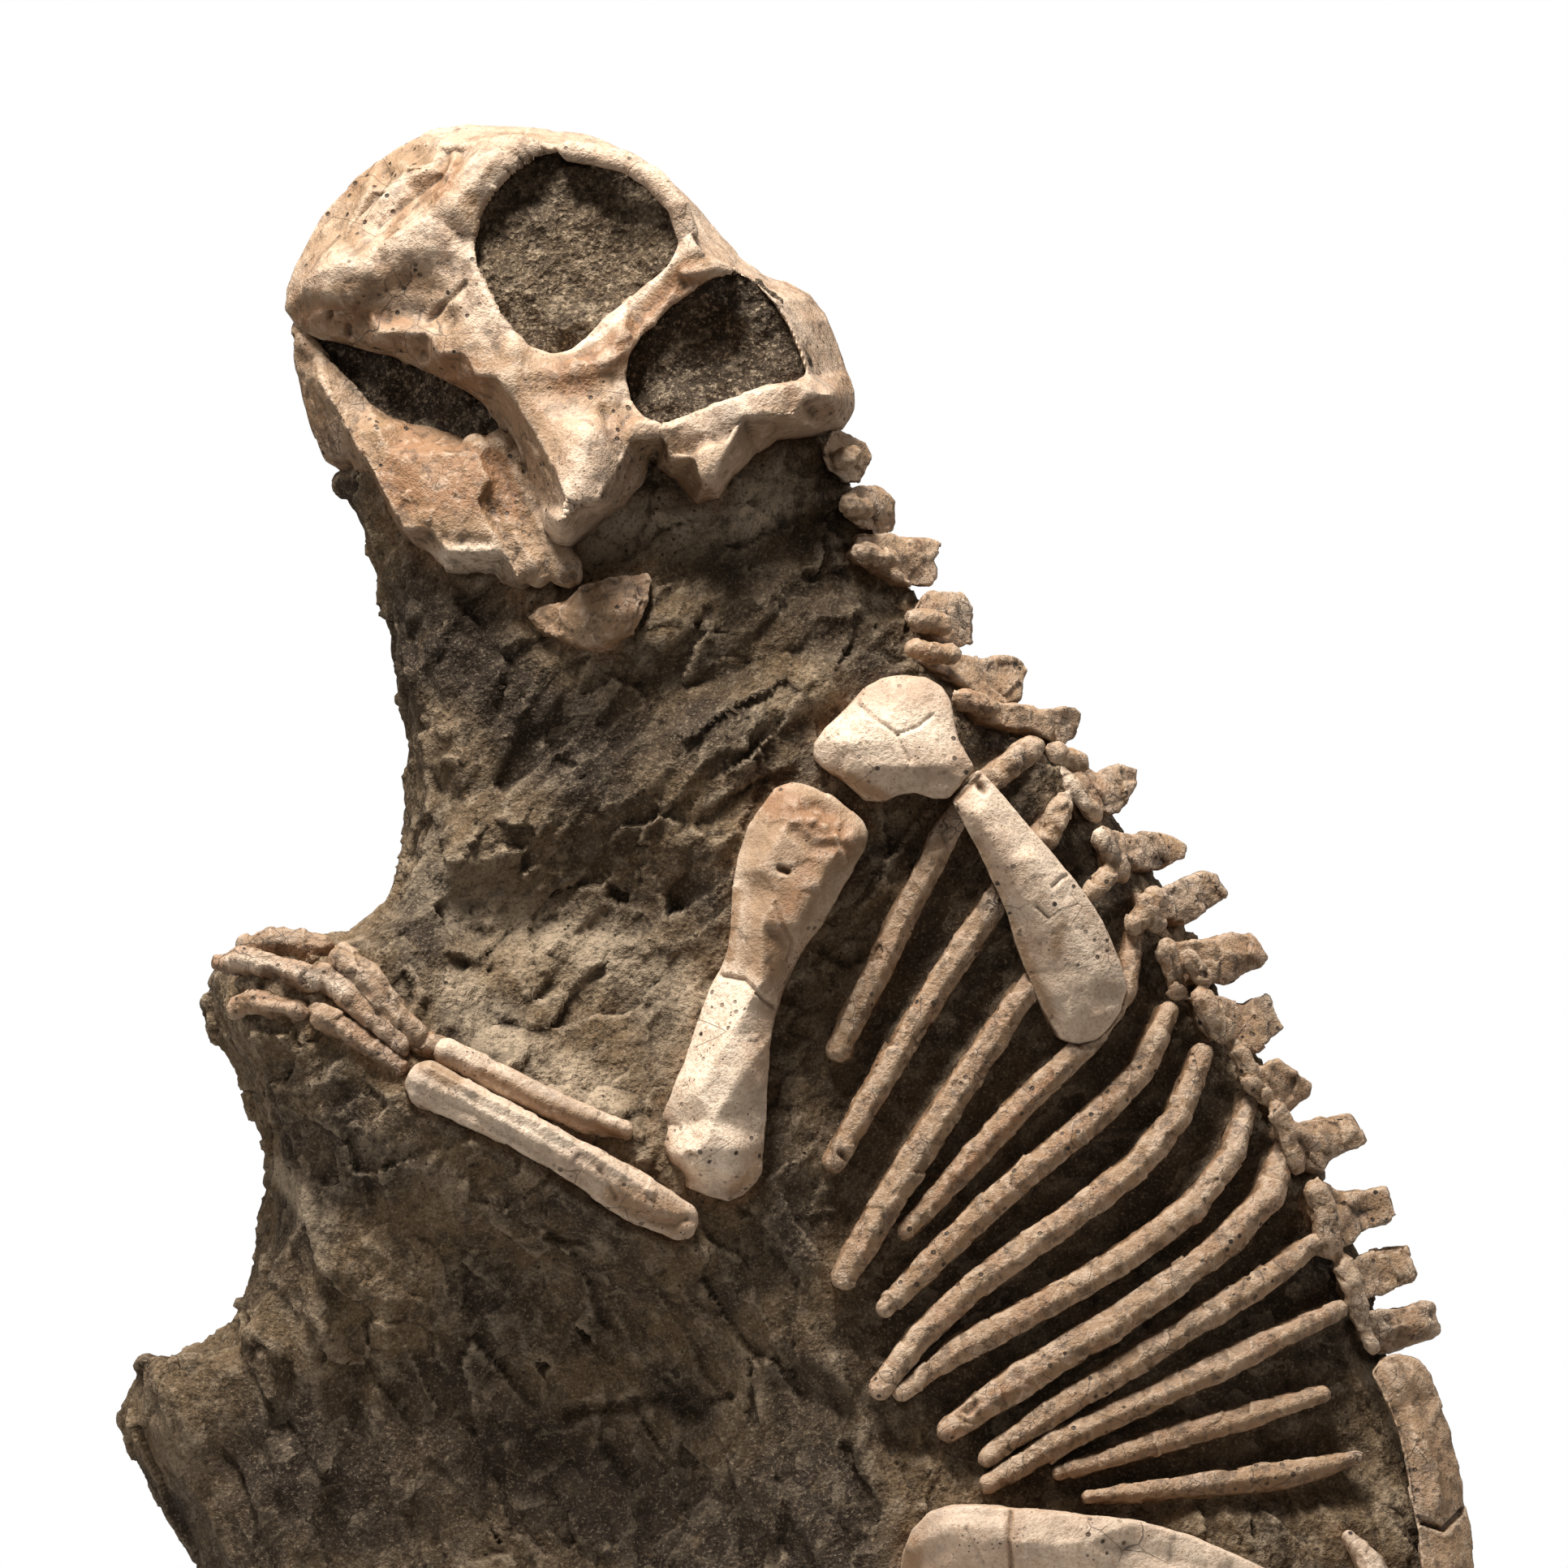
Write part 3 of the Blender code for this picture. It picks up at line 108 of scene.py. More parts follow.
# Drawn relief on the bones: a line of (u, v) points, its half width in pixels and its height in mm,
# with True after it for a sharp crest or groove. The tones are drawn in the same way: pale above 0, tan at
# -1 and iron-stained at -2. The extras are rods of bone added to a piece, as (u, v, depth in mm), and half
# width.
SKULL_STROKES = [
    ([(650, 176), (604, 206), (566, 246), (528, 282), (480, 306), (428, 330), (376, 350)], 46, 4.2, True),
    ([(412, 270), (450, 226), (500, 192), (556, 180)], 44, -2.8),
    ([(440, 306), (488, 268), (536, 222)], 30, -2.2),
    ([(470, 240), (500, 215), (528, 204)], 12, 1.4, True),
    ([(430, 262), (466, 230)], 7, -1.3, True),
    ([(462, 276), (508, 234), (536, 212)], 6, -1.3, True),
    ([(480, 300), (540, 250), (556, 226)], 6, -1.0, True),
    ([(556, 186), (560, 214), (548, 240)], 10, 1.6, True),
    ([(568, 262), (588, 304), (594, 350), (610, 390), (634, 422)], 22, 2.0, True),
    ([(380, 376), (440, 388), (500, 384), (552, 394)], 24, -1.8),
    ([(384, 402), (430, 412), (480, 422)], 12, 1.2, True),
    ([(574, 350), (550, 372), (522, 392)], 6, -1.4, True),
    ([(404, 388), (405, 392)], 6, -1.8),
    ([(428, 404), (429, 408)], 7, -1.8),
    ([(521, 436), (524, 441)], 7, -1.8),
    ([(596, 480), (640, 452), (690, 462), (738, 448)], 34, 1.6),
    ([(728, 540), (716, 588), (706, 622)], 36, 3.2, True),
    ([(636, 476), (676, 512), (716, 548)], 30, 1.6, True),
    ([(744, 506), (752, 540), (776, 572)], 12, -1.2),
    ([(850, 356), (806, 396), (772, 430), (740, 452), (706, 458)], 14, 1.4, True),
    ([(716, 188), (764, 198), (808, 220), (840, 256), (850, 300), (842, 330)], 30, 1.6),
    ([(592, 236), (616, 204), (652, 178), (692, 174)], 34, 0.9),
    ([(806, 560), (803, 582), (799, 600)], 8, -4.0, True),
    ([(846, 352), (826, 384), (806, 410), (796, 440)], 9, -1.6, True),
    ([(786, 530), (830, 534), (880, 512), (930, 494), (992, 480)], 18, 3.2, True),
    ([(826, 566), (870, 546), (915, 528), (965, 518), (1020, 508)], 14, -2.0),
    ([(905, 340), (880, 330), (850, 338)], 16, 2.2),
    ([(908, 304), (926, 346), (956, 374), (988, 404)], 14, -0.7),
    ([(958, 352), (998, 380), (1020, 420), (1034, 462)], 20, 2.0),
    ([(950, 400), (972, 440)], 6, -1.0, True),
    ([(874, 560), (876, 600), (870, 630)], 22, 2.8, True),
]
SKULL_TONES = [
    ([(440, 210), (500, 190), (540, 230)], 56, -1.1),
    ([(390, 300), (440, 260)], 50, -0.7),
    ([(470, 240), (500, 215), (528, 204)], 8, 0.9),
    ([(376, 350), (428, 330), (480, 306), (528, 282)], 14, 0.5),
    ([(380, 370), (440, 360), (500, 340)], 46, -0.9),
    ([(400, 395), (520, 430), (580, 470)], 40, -1.4),
    ([(600, 300), (586, 250)], 26, -0.9),
    ([(540, 360), (560, 420)], 50, -0.8),
    ([(520, 300), (590, 260)], 30, -0.5),
    ([(600, 460), (640, 500), (660, 560)], 70, -1.1),
    ([(666, 580), (680, 630)], 26, -0.5),
    ([(740, 610), (770, 560)], 50, -0.3),
    # Iron stain and painted shadow on the bar at the lower right of the eye socket, which the rim above
    # shades
    ([(706, 466), (750, 440), (806, 390), (848, 346)], 46, -2.4),
    ([(740, 500), (780, 530)], 34, -1.2),
    ([(820, 560), (850, 610)], 50, -1.3),
    ([(880, 560), (990, 510)], 40, -0.7),
    # Painted highlight along the lit rim of the eye socket
    ([(700, 432), (735, 418), (757, 398), (790, 368), (812, 345), (832, 318)], 9, 1.6),
    # Painted highlight along the horn's ridge
    ([(726, 546), (710, 604)], 12, 0.5),
    ([(1030, 500), (1040, 470)], 24, -0.8),
    ([(560, 200), (540, 240)], 20, -1.4),
    ([(640, 176), (600, 210)], 20, -0.8),
    ([(360, 380), (372, 400)], 22, -1.0),
    ([(640, 440), (700, 470)], 40, -0.7),
    ([(480, 290), (500, 250)], 12, -1.0),
    ([(430, 290), (450, 310)], 18, -0.7),
    ([(420, 380), (500, 395)], 16, -1.4),
    ([(850, 330), (900, 300)], 30, -0.4),
    ([(960, 420), (1010, 440)], 30, -0.5),
]
JAW_STROKES = [
    ([(400, 446), (440, 486), (480, 518), (540, 536), (606, 544)], 26, 1.6, True),
    ([(420, 520), (470, 570), (500, 620)], 40, -1.0),
    ([(520, 650), (560, 668), (600, 668)], 12, -0.8),
    ([(400, 566), (430, 576), (446, 600)], 8, -1.8, True),
    ([(492, 680), (550, 700), (610, 714)], 12, 1.2, True),
]
JAW_TONES = [
    ([(480, 530), (540, 545), (600, 560)], 50, -1.5),
    ([(490, 600), (580, 610)], 70, -1.8),
    ([(620, 580), (640, 640)], 36, -1.7),
    ([(480, 600), (500, 560)], 30, -1.1),
    ([(390, 500), (420, 560)], 50, -0.4),
    ([(440, 600), (520, 660)], 60, -0.5),
    ([(470, 660), (520, 700)], 24, -1.2),
    ([(520, 690), (600, 692)], 44, 0.9),
]
SKULL_EXTRAS = [
    (
        [(700, 186, 30), (728, 190, 32), (770, 200, 35), (806, 222, 37), (834, 256, 39), (848, 292, 38)],
        14,
    ),
]
JAW_EDGE = [
    ([(366, 402, 1), (378, 421, 3), (394, 442, 6)], 12),
    ([(618, 548, 29), (642, 596, 32), (664, 642, 35), (680, 678, 37), (700, 708, 39)], 22),
    ([(590, 560, 28), (614, 610, 31), (634, 656, 34), (660, 700, 37)], 28),
]
HAND_EXTRAS = [
    ([(502, 1328, 54), (464, 1305, 53), (422, 1280, 52), (384, 1262, 51)], 13),
    ([(516, 1284, 53), (544, 1292, 52)], 14),
    ([(498, 1318, 53), (524, 1330, 52)], 15),
]
HEAD_HOLLOWS = [
    ([(690, 270), (740, 300)], 110, -3.6),
    ([(660, 360), (700, 400)], 40, 1.4),
    ([(880, 420), (920, 440)], 80, -2.4),
]
THROAT_STROKES = [([(716, 730), (722, 770), (744, 800)], 22, 2.0, True)]
THROAT_TONES = [([(680, 760), (740, 740), (770, 780)], 60, -0.9)]
HUMERUS_STROKES = [
    ([(890, 1201), (916, 1205), (930, 1219), (944, 1233), (958, 1242)], 4.5, -1.5, True),
    ([(955, 1112), (964, 1136), (976, 1158), (968, 1180)], 4, -0.7, True),
    ([(962, 1070), (970, 1073)], 7, -2.6),
    ([(850, 1422), (858, 1425)], 7, -2.2),
    ([(975, 1000), (1010, 990), (1042, 1008), (1036, 1040), (1000, 1044), (980, 1024)], 14, -1.2),
    ([(1000, 1012), (1016, 1020)], 10, 1.2),
    ([(1040, 1060), (1030, 1030)], 6, 1.0),
    ([(930, 1280), (930, 1350), (922, 1430)], 44, 1.8),
    ([(996, 1090), (966, 1170)], 30, 1.2),
    ([(806, 1404), (850, 1424), (900, 1440), (936, 1442)], 16, 1.0, True),
    ([(812, 1440), (860, 1460), (910, 1470)], 16, -1.2),
]
HUMERUS_TONES = [
    ([(960, 990), (1020, 1040), (980, 1110)], 70, -0.8),
    ([(960, 990), (1020, 1010), (1040, 1040)], 44, -1.5),
    ([(930, 1040), (940, 1110), (930, 1180)], 50, -0.8),
    ([(1000, 1060), (970, 1130), (955, 1190)], 34, -0.9),
    ([(890, 1240), (870, 1330), (870, 1430)], 70, 1.2),
    ([(900, 1466), (930, 1440)], 14, -1.2),
    ([(906, 1100), (898, 1180)], 10, -1.4),
]
CORACOID_STROKES = [
    ([(1057, 868), (1082, 888), (1105, 905), (1112, 920), (1120, 938)], 4, -1.0, True),
    ([(1105, 905), (1130, 896), (1150, 880)], 3.5, -0.7, True),
    ([(1050, 950), (1090, 966), (1120, 960)], 30, 0.8),
]
CORACOID_TONES = [
    ([(1040, 900), (1100, 900), (1150, 900)], 60, 0.9),
    ([(1030, 950), (1090, 984)], 14, -1.2),
]
SCAPULA_STROKES = [
    ([(1206, 968), (1212, 975)], 7, -2.2),
    ([(1170, 990), (1190, 972), (1208, 956)], 5, -1.0, True),
    ([(1200, 1040), (1240, 1120), (1276, 1210), (1300, 1266)], 24, -0.8),
    ([(1216, 1000), (1262, 1078), (1298, 1156), (1330, 1226)], 30, 0.8),
    ([(1296, 1092), (1310, 1080), (1324, 1074)], 4, -0.8, True),
    ([(1276, 1116), (1290, 1130)], 3.5, -0.8, True),
]
SCAPULA_TONES = [
    ([(1220, 980), (1300, 1090), (1350, 1190)], 40, 0.6),
    ([(1200, 1040), (1250, 1160), (1290, 1250)], 20, -1.0),
    ([(1310, 1130), (1300, 1170)], 18, -1.0),
    ([(1180, 980), (1206, 960)], 14, -0.9),
]
FEMUR_STROKES = [
    ([(1246, 1850), (1241, 1890), (1246, 1940)], 4.5, -1.2, True),
    ([(1190, 1880), (1210, 1920)], 4, -0.8, True),
    ([(1130, 1900), (1170, 1876), (1230, 1880)], 22, 1.4),
    ([(1300, 1890), (1400, 1904), (1480, 1930)], 20, -1.0),
]
FEMUR_TONES = [
    ([(1180, 1890), (1350, 1890), (1500, 1930)], 60, 0.4),
    ([(1126, 1900), (1118, 1940)], 22, -1.4),
    ([(1246, 1850), (1244, 1930)], 14, -1.0),
]
ULNA_STROKES = [
    ([(530, 1318), (590, 1350), (660, 1384), (730, 1424), (800, 1468)], 9, 1.4, True),
    ([(556, 1352), (640, 1400), (720, 1450)], 9, -0.9),
    ([(770, 1486), (812, 1502), (845, 1502)], 10, -1.4),
    ([(740, 1440), (760, 1470)], 6, -1.2, True),
]
ULNA_TONES = [
    ([(530, 1310), (560, 1330)], 24, -1.0),
    ([(560, 1345), (640, 1380), (700, 1410)], 16, 1.2),
    ([(600, 1320), (680, 1360), (760, 1392)], 14, -1.0),
    ([(760, 1470), (830, 1500)], 30, -1.4),
]
HAND_TONES = [([(280, 1180), (360, 1195), (420, 1220)], 20, 0.8), ([(300, 1236), (370, 1246)], 20, -0.8)]
RIB_STROKES = [
    ([(1180, 1730), (1192, 1738), (1200, 1728)], 8, -1.6),
    ([(1036, 1420), (1040, 1424)], 7, -1.8),
    ([(1160, 1720), (1190, 1750)], 5, -1.2, True),
]
RIB_TONES = [
    ([(1080, 1420), (1300, 1400), (1480, 1480), (1300, 1700)], 320, -0.9),
    ([(1031, 1297), (1108, 1140), (1160, 1035)], 16, -0.6),
    ([(1045, 1400), (1160, 1207), (1224, 1112)], 16, 0.3),
    ([(1062, 1535), (1182, 1338)], 16, 0.5),
    ([(1152, 1478), (1300, 1321)], 16, -1.3),
    ([(1124, 1575), (1280, 1432), (1420, 1300)], 16, -0.8),
    ([(1430, 1410), (1475, 1330), (1483, 1296)], 16, 0.4),
    ([(1480, 1484), (1525, 1410), (1546, 1340)], 16, 0.9),
    ([(1150, 1681), (1290, 1605)], 16, -0.8),
    ([(1200, 1736), (1260, 1697)], 18, -1.4),
    ([(1540, 1500), (1588, 1430)], 18, 0.5),
]
SPINE_TONES = [
    (
        [(1240, 940), (1330, 1060), (1420, 1130), (1500, 1260), (1580, 1390), (1630, 1500), (1680, 1620)],
        40,
        -0.9,
    ),
    ([(1140, 680), (1190, 750)], 26, 0.3),
    ([(1380, 970), (1450, 1045), (1500, 1100), (1555, 1180)], 20, -0.9),
    ([(1300, 940), (1360, 1040)], 22, 0.8),
    ([(1690, 1490), (1720, 1570), (1750, 1640)], 26, -0.9),
    ([(1620, 1500), (1680, 1620)], 24, 0.7),
    ([(1400, 1110), (1450, 1200), (1500, 1270)], 20, 0.5),
]
ILIUM_STROKES = [
    ([(1716, 1690), (1748, 1770), (1770, 1850)], 18, 1.4),
    ([(1700, 1690), (1730, 1760), (1744, 1850)], 8, -0.9, True),
    ([(1745, 1872), (1780, 1884), (1806, 1860)], 6, -3.0),
]
ILIUM_TONES = [([(1716, 1690), (1748, 1770), (1790, 1900)], 60, -0.7)]

# Drawn forms of the rock, in the same way: the diagonal ridge below the neck, the crest under the
# forearm, the hollows between them, the knob and the long ridges of the lower left. Then its painted
# shadows, where shade falls on the rock, its pale dust with painted light, the crest behind the spines,
# and the outline of the hollowed bed of the ribs.
ROCK_STROKES = [
    ([(1010, 850), (900, 905), (800, 962), (700, 1010), (600, 1048), (520, 1070)], 70, 4.0),
    ([(560, 880), (680, 900), (800, 870), (900, 820)], 90, -4.0),
    ([(540, 980), (640, 960)], 50, -2.0),
    ([(580, 1120), (700, 1130), (820, 1110)], 70, -2.0),
    ([(640, 1180), (760, 1200), (840, 1240)], 60, 1.6),
    ([(500, 1345), (600, 1405), (700, 1462), (800, 1520), (860, 1540)], 34, 3.0),
    ([(440, 1470), (560, 1550), (700, 1610), (840, 1640)], 90, -4.0),
    ([(330, 1420), (380, 1480), (400, 1560)], 30, 2.0),
    ([(300, 1600), (330, 1700), (320, 1850)], 26, 2.4, True),
    ([(410, 1560), (390, 1680), (400, 1800), (380, 1900)], 24, 2.2, True),
    ([(360, 1600), (350, 1760)], 22, -2.4),
    ([(480, 1600), (470, 1720), (500, 1860)], 24, 2.0, True),
    ([(440, 1640), (440, 1800)], 22, -2.0),
    ([(180, 1690), (220, 1720), (240, 1780)], 30, 2.2),
    ([(880, 1560), (960, 1640), (1040, 1700)], 40, 1.4),
    ([(560, 1700), (620, 1760), (640, 1840)], 40, 1.6),
    ([(700, 1740), (830, 1720), (860, 1740)], 16, -3.0),
    ([(820, 1700), (860, 1730), (900, 1720)], 8, -2.4, True),
    ([(700, 1800), (720, 1900)], 40, -1.6),
    ([(960, 1700), (1060, 1740), (1160, 1790)], 36, -2.0),
    ([(900, 1780), (960, 1850)], 60, 1.6),
    ([(1000, 640), (940, 700), (840, 700)], 50, -1.6),
    ([(720, 640), (800, 620), (900, 650)], 40, 1.4),
]
# Painted shade: the rock is coloured darker where shadow falls, under the jaw and skull, down the neck,
# beside the humerus and over the low rock
ROCK_PAINTED_SHADOWS = [
    ([(560, 800), (640, 880), (700, 940)], 110, 0.8),
    ([(900, 700), (1000, 760), (1080, 800)], 90, 0.6),
    ([(960, 1250), (960, 1400), (980, 1560)], 60, 0.5),
    ([(500, 1560), (700, 1640), (850, 1700)], 120, 0.25),
    ([(640, 1780), (760, 1850), (860, 1900)], 110, 0.7),
    ([(350, 1800), (440, 1880)], 90, 0.5),
    ([(820, 1700), (860, 1740)], 40, 0.8),
    ([(860, 1050), (880, 1160)], 40, 0.5),
    ([(1000, 1700), (1020, 1900)], 120, 0.6),
    ([(300, 1800), (700, 1850), (1000, 1900)], 220, 0.6),
    ([(520, 760), (700, 860), (860, 900)], 120, 0.3),
    ([(820, 1180), (800, 1320)], 60, 0.45),
    ([(500, 700), (500, 1000)], 60, 0.5),
    ([(760, 920), (880, 900)], 60, 0.4),
]
# Pale dust and painted light: lighter rock on the up-facing chest, and painted light in the shadow under the
# skull
ROCK_DUST_AND_LIGHT = [
    ([(560, 1100), (660, 1140), (760, 1180), (840, 1240)], 90, 0.7),
    ([(560, 1220), (640, 1300), (740, 1350)], 60, 0.9),
    ([(740, 660), (800, 640), (900, 650), (960, 600)], 60, 0.9),
    ([(340, 1440), (380, 1490)], 24, 1.2),
    ([(600, 1040), (760, 980), (900, 910)], 30, 0.2),
    ([(440, 1400), (560, 1460)], 30, 0.3),
    ([(180, 1720), (240, 1800)], 40, 0.4),
]
ROCK_EXTRAS = [
    (
        [
            (1016, 560, 10), (1030, 600, 10), (1048, 640, 10), (1076, 690, 8), (1124, 750, 8),
            (1162, 805, 8), (1224, 865, 6), (1284, 915, 5), (1330, 968, 4), (1368, 1022, 3),
            (1402, 1076, 2), (1446, 1146, 1), (1484, 1216, 0), (1522, 1282, 0), (1558, 1346, 0),
            (1590, 1406, 0), (1632, 1480, 0), (1662, 1550, 0), (1682, 1620, 0),
        ],
        18,
    ),
]
RIB_BED = [
    (1120, 1000), (1070, 1100), (1010, 1220), (985, 1330), (985, 1440), (1005, 1560), (1020, 1650),
    (1050, 1740), (1130, 1800), (1200, 1850), (1330, 1885), (1500, 1870), (1720, 1880), (1730, 1760),
    (1690, 1640), (1640, 1480), (1560, 1330), (1470, 1180), (1390, 1060), (1320, 970), (1250, 900),
    (1180, 930),
]

# Bosses of the vertebrae, beside the spines: line of (u, v, depth in mm), and half width in pixels
NECK_BOSSES = [
    ([(1038, 566, 27), (1052, 560, 22)], 14),
    ([(1046, 622, 29), (1066, 626, 23)], 15),
    ([(1062, 680, 30), (1100, 690, 24)], 15),
    ([(1128, 762, 28), (1160, 770, 22)], 15),
    ([(1126, 800, 33), (1172, 806, 27)], 13),
    ([(1183, 862, 34), (1222, 872, 29)], 14),
]
BACK_BOSSES = [
    ([(1226, 958, 37), (1250, 938, 36), (1272, 922, 33)], 16),
    ([(1300, 926, 31), (1330, 940, 26)], 14),
    ([(1290, 1036, 35), (1300, 1010, 35), (1310, 990, 32)], 16),
    ([(1318, 962, 30), (1336, 988, 29), (1350, 1004, 26)], 12),
    ([(1338, 1106, 34), (1352, 1090, 33), (1364, 1076, 31)], 13),
    ([(1358, 1030, 31), (1370, 1052, 30), (1380, 1076, 27)], 15),
    ([(1398, 1140, 31), (1410, 1122, 30), (1422, 1104, 27)], 14),
    ([(1410, 1108, 31), (1426, 1142, 28)], 12),
    ([(1437, 1166, 30), (1446, 1196, 29), (1452, 1222, 27)], 12),
    ([(1462, 1180, 28), (1484, 1206, 26)], 14),
    ([(1480, 1228, 28), (1496, 1252, 27), (1508, 1274, 24)], 15),
    ([(1524, 1292, 24), (1540, 1322, 23)], 13),
    ([(1540, 1334, 24), (1560, 1352, 21)], 13),
    ([(1574, 1368, 22), (1588, 1402, 21), (1600, 1436, 20)], 14),
    ([(1590, 1392, 21), (1620, 1410, 18)], 12),
    ([(1622, 1466, 21), (1634, 1500, 21), (1642, 1540, 20)], 16),
    ([(1655, 1556, 20), (1668, 1588, 20), (1680, 1620, 19)], 13),
    ([(1665, 1602, 19), (1680, 1632, 18), (1692, 1660, 18)], 11),
]


def srgb(hex_colour):
    """A linear colour from an sRGB hex value."""
    parts = [int(hex_colour[i : i + 2], 16) / 255 for i in (1, 3, 5)]
    return tuple(p / 12.92 if p <= 0.04045 else ((p + 0.055) / 1.055) ** 2.4 for p in parts)


def size_prop(name, description, default, low, high):
    """A size given in millimetres and kept in metres."""
    return FloatProperty(
        name=name, description=description, default=default * MM, min=low * MM, max=high * MM,
        unit="LENGTH", precision=5,
    )


def colour_prop(name, description, hex_colour):
    """A colour given as an sRGB hex value and kept linear."""
    return FloatVectorProperty(
        name=name, description=description, subtype="COLOR", size=3, min=0, max=1, default=srgb(hex_colour)
    )


class FossilSizes(bpy.types.PropertyGroup):
    """Sizes of the fine relief."""

    head_voxel: size_prop("Head detail", "Smallest form kept on the skull and jaw", 0.7, 0.5, 4)
    bone_voxel: size_prop("Bone detail", "Smallest form kept on the other bones", 0.55, 0.4, 4)
    rock_voxel: size_prop("Rock detail", "Smallest form kept on the rock", 1.05, 0.9, 6)
    bone_wear: size_prop("Bone wear", "Height of the worn unevenness of the bones", 0.3, 0, 3)
    chip_height: size_prop("Chip height", "Height of the chisel chips on the rock", 2.7, 0, 8)
    chip_size: size_prop("Chip size", "Width of the chisel chips on the rock", 9.5, 2, 40)
    rib_hollow: size_prop("Rib hollow", "How far the rock lies back between the ribs", 2.6, 0, 8)
    seat_depth: size_prop("Seat depth", "How far each bone runs on into the rock", 4.5, 0, 8)


class FossilColours(bpy.types.PropertyGroup):
    """Colours of the bone and the rock."""

    bone_light: colour_prop("Light bone", "Clean, smooth fossil bone", "#d2bda6")
    bone_mid: colour_prop("Bone", "Most of the bone", "#a48a73")
    bone_grey: colour_prop("Grey bone", "Greyish worn patches", "#978a7d")
    bone_tan: colour_prop("Tan bone", "Bone that took up more iron", "#886b4e")
    bone_stain: colour_prop("Iron stain", "Orange-brown iron stain", "#7c5130")
    # The crack colour is also the painted shade in the bone's hollows
    bone_crack_and_shade: colour_prop("Crack", "Dirt in cracks and pits", "#2c1f14")
    # The dark rock is also the colour of the painted shade
    rock_dark: colour_prop("Dark rock", "Deep, damp-looking rock", "#2c2116")
    rock_mid: colour_prop("Rock", "Most of the rock", "#655139")
    # The light rock is also the colour of the painted light and of the painted highlight on crests
    rock_light: colour_prop("Light rock", "Dusty chip faces", "#a39078")


def place(u, v, depth):
    """The point in metres of pixel (u, v) at a depth in millimetres towards the viewer."""
    across, up = (u - ORIGIN_U) * METRES_PER_PX, (BASE_V - v) * METRES_PER_PX
    return Vector((across, (BLOCK_MIDDLE - depth) * MM, up))


def to_pixels(points):
    """(u, v) of points in metres."""
    u, v = points[:, 0] / METRES_PER_PX + ORIGIN_U, BASE_V - points[:, 2] / METRES_PER_PX
    return np.stack([u, v], axis=1)


def coordinates(mesh):
    """The places of a mesh's vertices, one row each."""
    flat = np.empty(len(mesh.vertices) * 3, np.float32)
    mesh.vertices.foreach_get("co", flat)
    return flat.reshape(-1, 3).astype(float)


def set_coordinates(mesh, points):
    """Moves a mesh's vertices to new places."""
    mesh.vertices.foreach_set("co", np.asarray(points, np.float32).ravel())
    mesh.update()


def normals(mesh):
    """The directions that a mesh's surface faces at its vertices, one row each."""
    flat = np.empty(len(mesh.vertices) * 3, np.float32)
    mesh.vertex_normals.foreach_get("vector", flat)
    return flat.reshape(-1, 3).astype(float)


def lattice_random(cells, seed):
    """A number from 0 to 1 for each whole-numbered cell (x, y, z)."""
    x, y, z = (cells[..., k].astype(np.int64) for k in range(3))
    mixed = (x * 73856093) ^ (y * 19349663) ^ (z * 83492791) ^ (seed * 2654435761)
    mixed = (mixed ^ (mixed >> 13)) * 1274126177 & 0xFFFFFFFF
    mixed = (mixed ^ (mixed >> 16)) * 2246822519 & 0xFFFFFFFF
    return ((mixed ^ (mixed >> 15)) & 0xFFFFFF) / float(0xFFFFFF)


def lumps(points, size, seed):
    """Smooth random lumps of that size in metres, from -1 to 1."""
    grid = points / size + 1000.0
    cell = np.floor(grid)
    part = grid - cell
    part = part * part * (3 - 2 * part)
    total = np.zeros(len(points))
    for corner in np.ndindex(2, 2, 2):
        offset = np.array(corner)
        weight = np.prod(np.where(offset == 1, part, 1 - part), axis=1)
        total += weight * lattice_random(cell + offset, seed)
    return total * 2 - 1


def chips(points, size, seed):
    """Height of a surface struck into flat chips, each with a tilt of its own, from about -0.7 to 0.7."""
    grid = points / size + 500.0
    cell = np.floor(grid)
    nearest = np.full(len(points), 1e9)
    height = np.zeros(len(points))
    for corner in np.ndindex(3, 3, 3):
        here = cell + np.array(corner) - 1
        centre = here + np.stack([lattice_random(here, seed + k) for k in range(3)], axis=1)
        apart = grid - centre
        distance = (apart**2).sum(axis=1)
        tilt = np.stack([lattice_random(here, seed + 3 + k) for k in range(3)], axis=1) * 2 - 1
        level = (apart * tilt).sum(axis=1) + 0.5 * (lattice_random(here, seed + 6) - 0.5)
        closer = distance < nearest
        nearest[closer] = distance[closer]
        height[closer] = level[closer]
    return height


def line_distance(pixels, line):
    """Distance in pixels from each point to a line of (u, v) points."""
    best = np.full(len(pixels), 1e9)
    for start, end in zip(line[:-1], line[1:]):
        start, along = np.array(start[:2], float), np.subtract(end[:2], start[:2]).astype(float)
        share = np.clip(((pixels - start) @ along) / max((along**2).sum(), 1e-9), 0, 1)
        best = np.minimum(best, np.linalg.norm(pixels - start - share[:, None] * along, axis=1))
    return best


def drawn_relief(pixels, strokes):
    """Height in metres of the drawn forms: round, or sharp-crested where a stroke ends in True."""
    height = np.zeros(len(pixels))
    for line, half_width, rise, *sharp in strokes:
        ends = np.array(line, float)
        low, high = ends.min(axis=0) - half_width, ends.max(axis=0) + half_width
        near = ((pixels > low) & (pixels < high)).all(axis=1)
        share = np.clip(1 - line_distance(pixels[near], line) / half_width, 0, 1)
        height[near] += rise * MM * (share if sharp else share**2 * (3 - 2 * share))
    return height


def inside_share(pixels, outline, soft):
    """1 well inside a drawn outline, 0 outside, and a ramp of that many pixels at its edge."""
    u, v = pixels[:, 0], pixels[:, 1]
    inside = np.zeros(len(pixels), bool)
    for (u0, v0), (u1, v1) in zip(outline, outline[1:] + outline[:1]):
        if v0 != v1:
            inside ^= ((v0 > v) != (v1 > v)) & (u < u0 + (v - v0) / (v1 - v0) * (u1 - u0))
    share = np.zeros(len(pixels))
    share[inside] = np.clip(line_distance(pixels[inside], outline + outline[:1]) / soft, 0, 1)
    return share


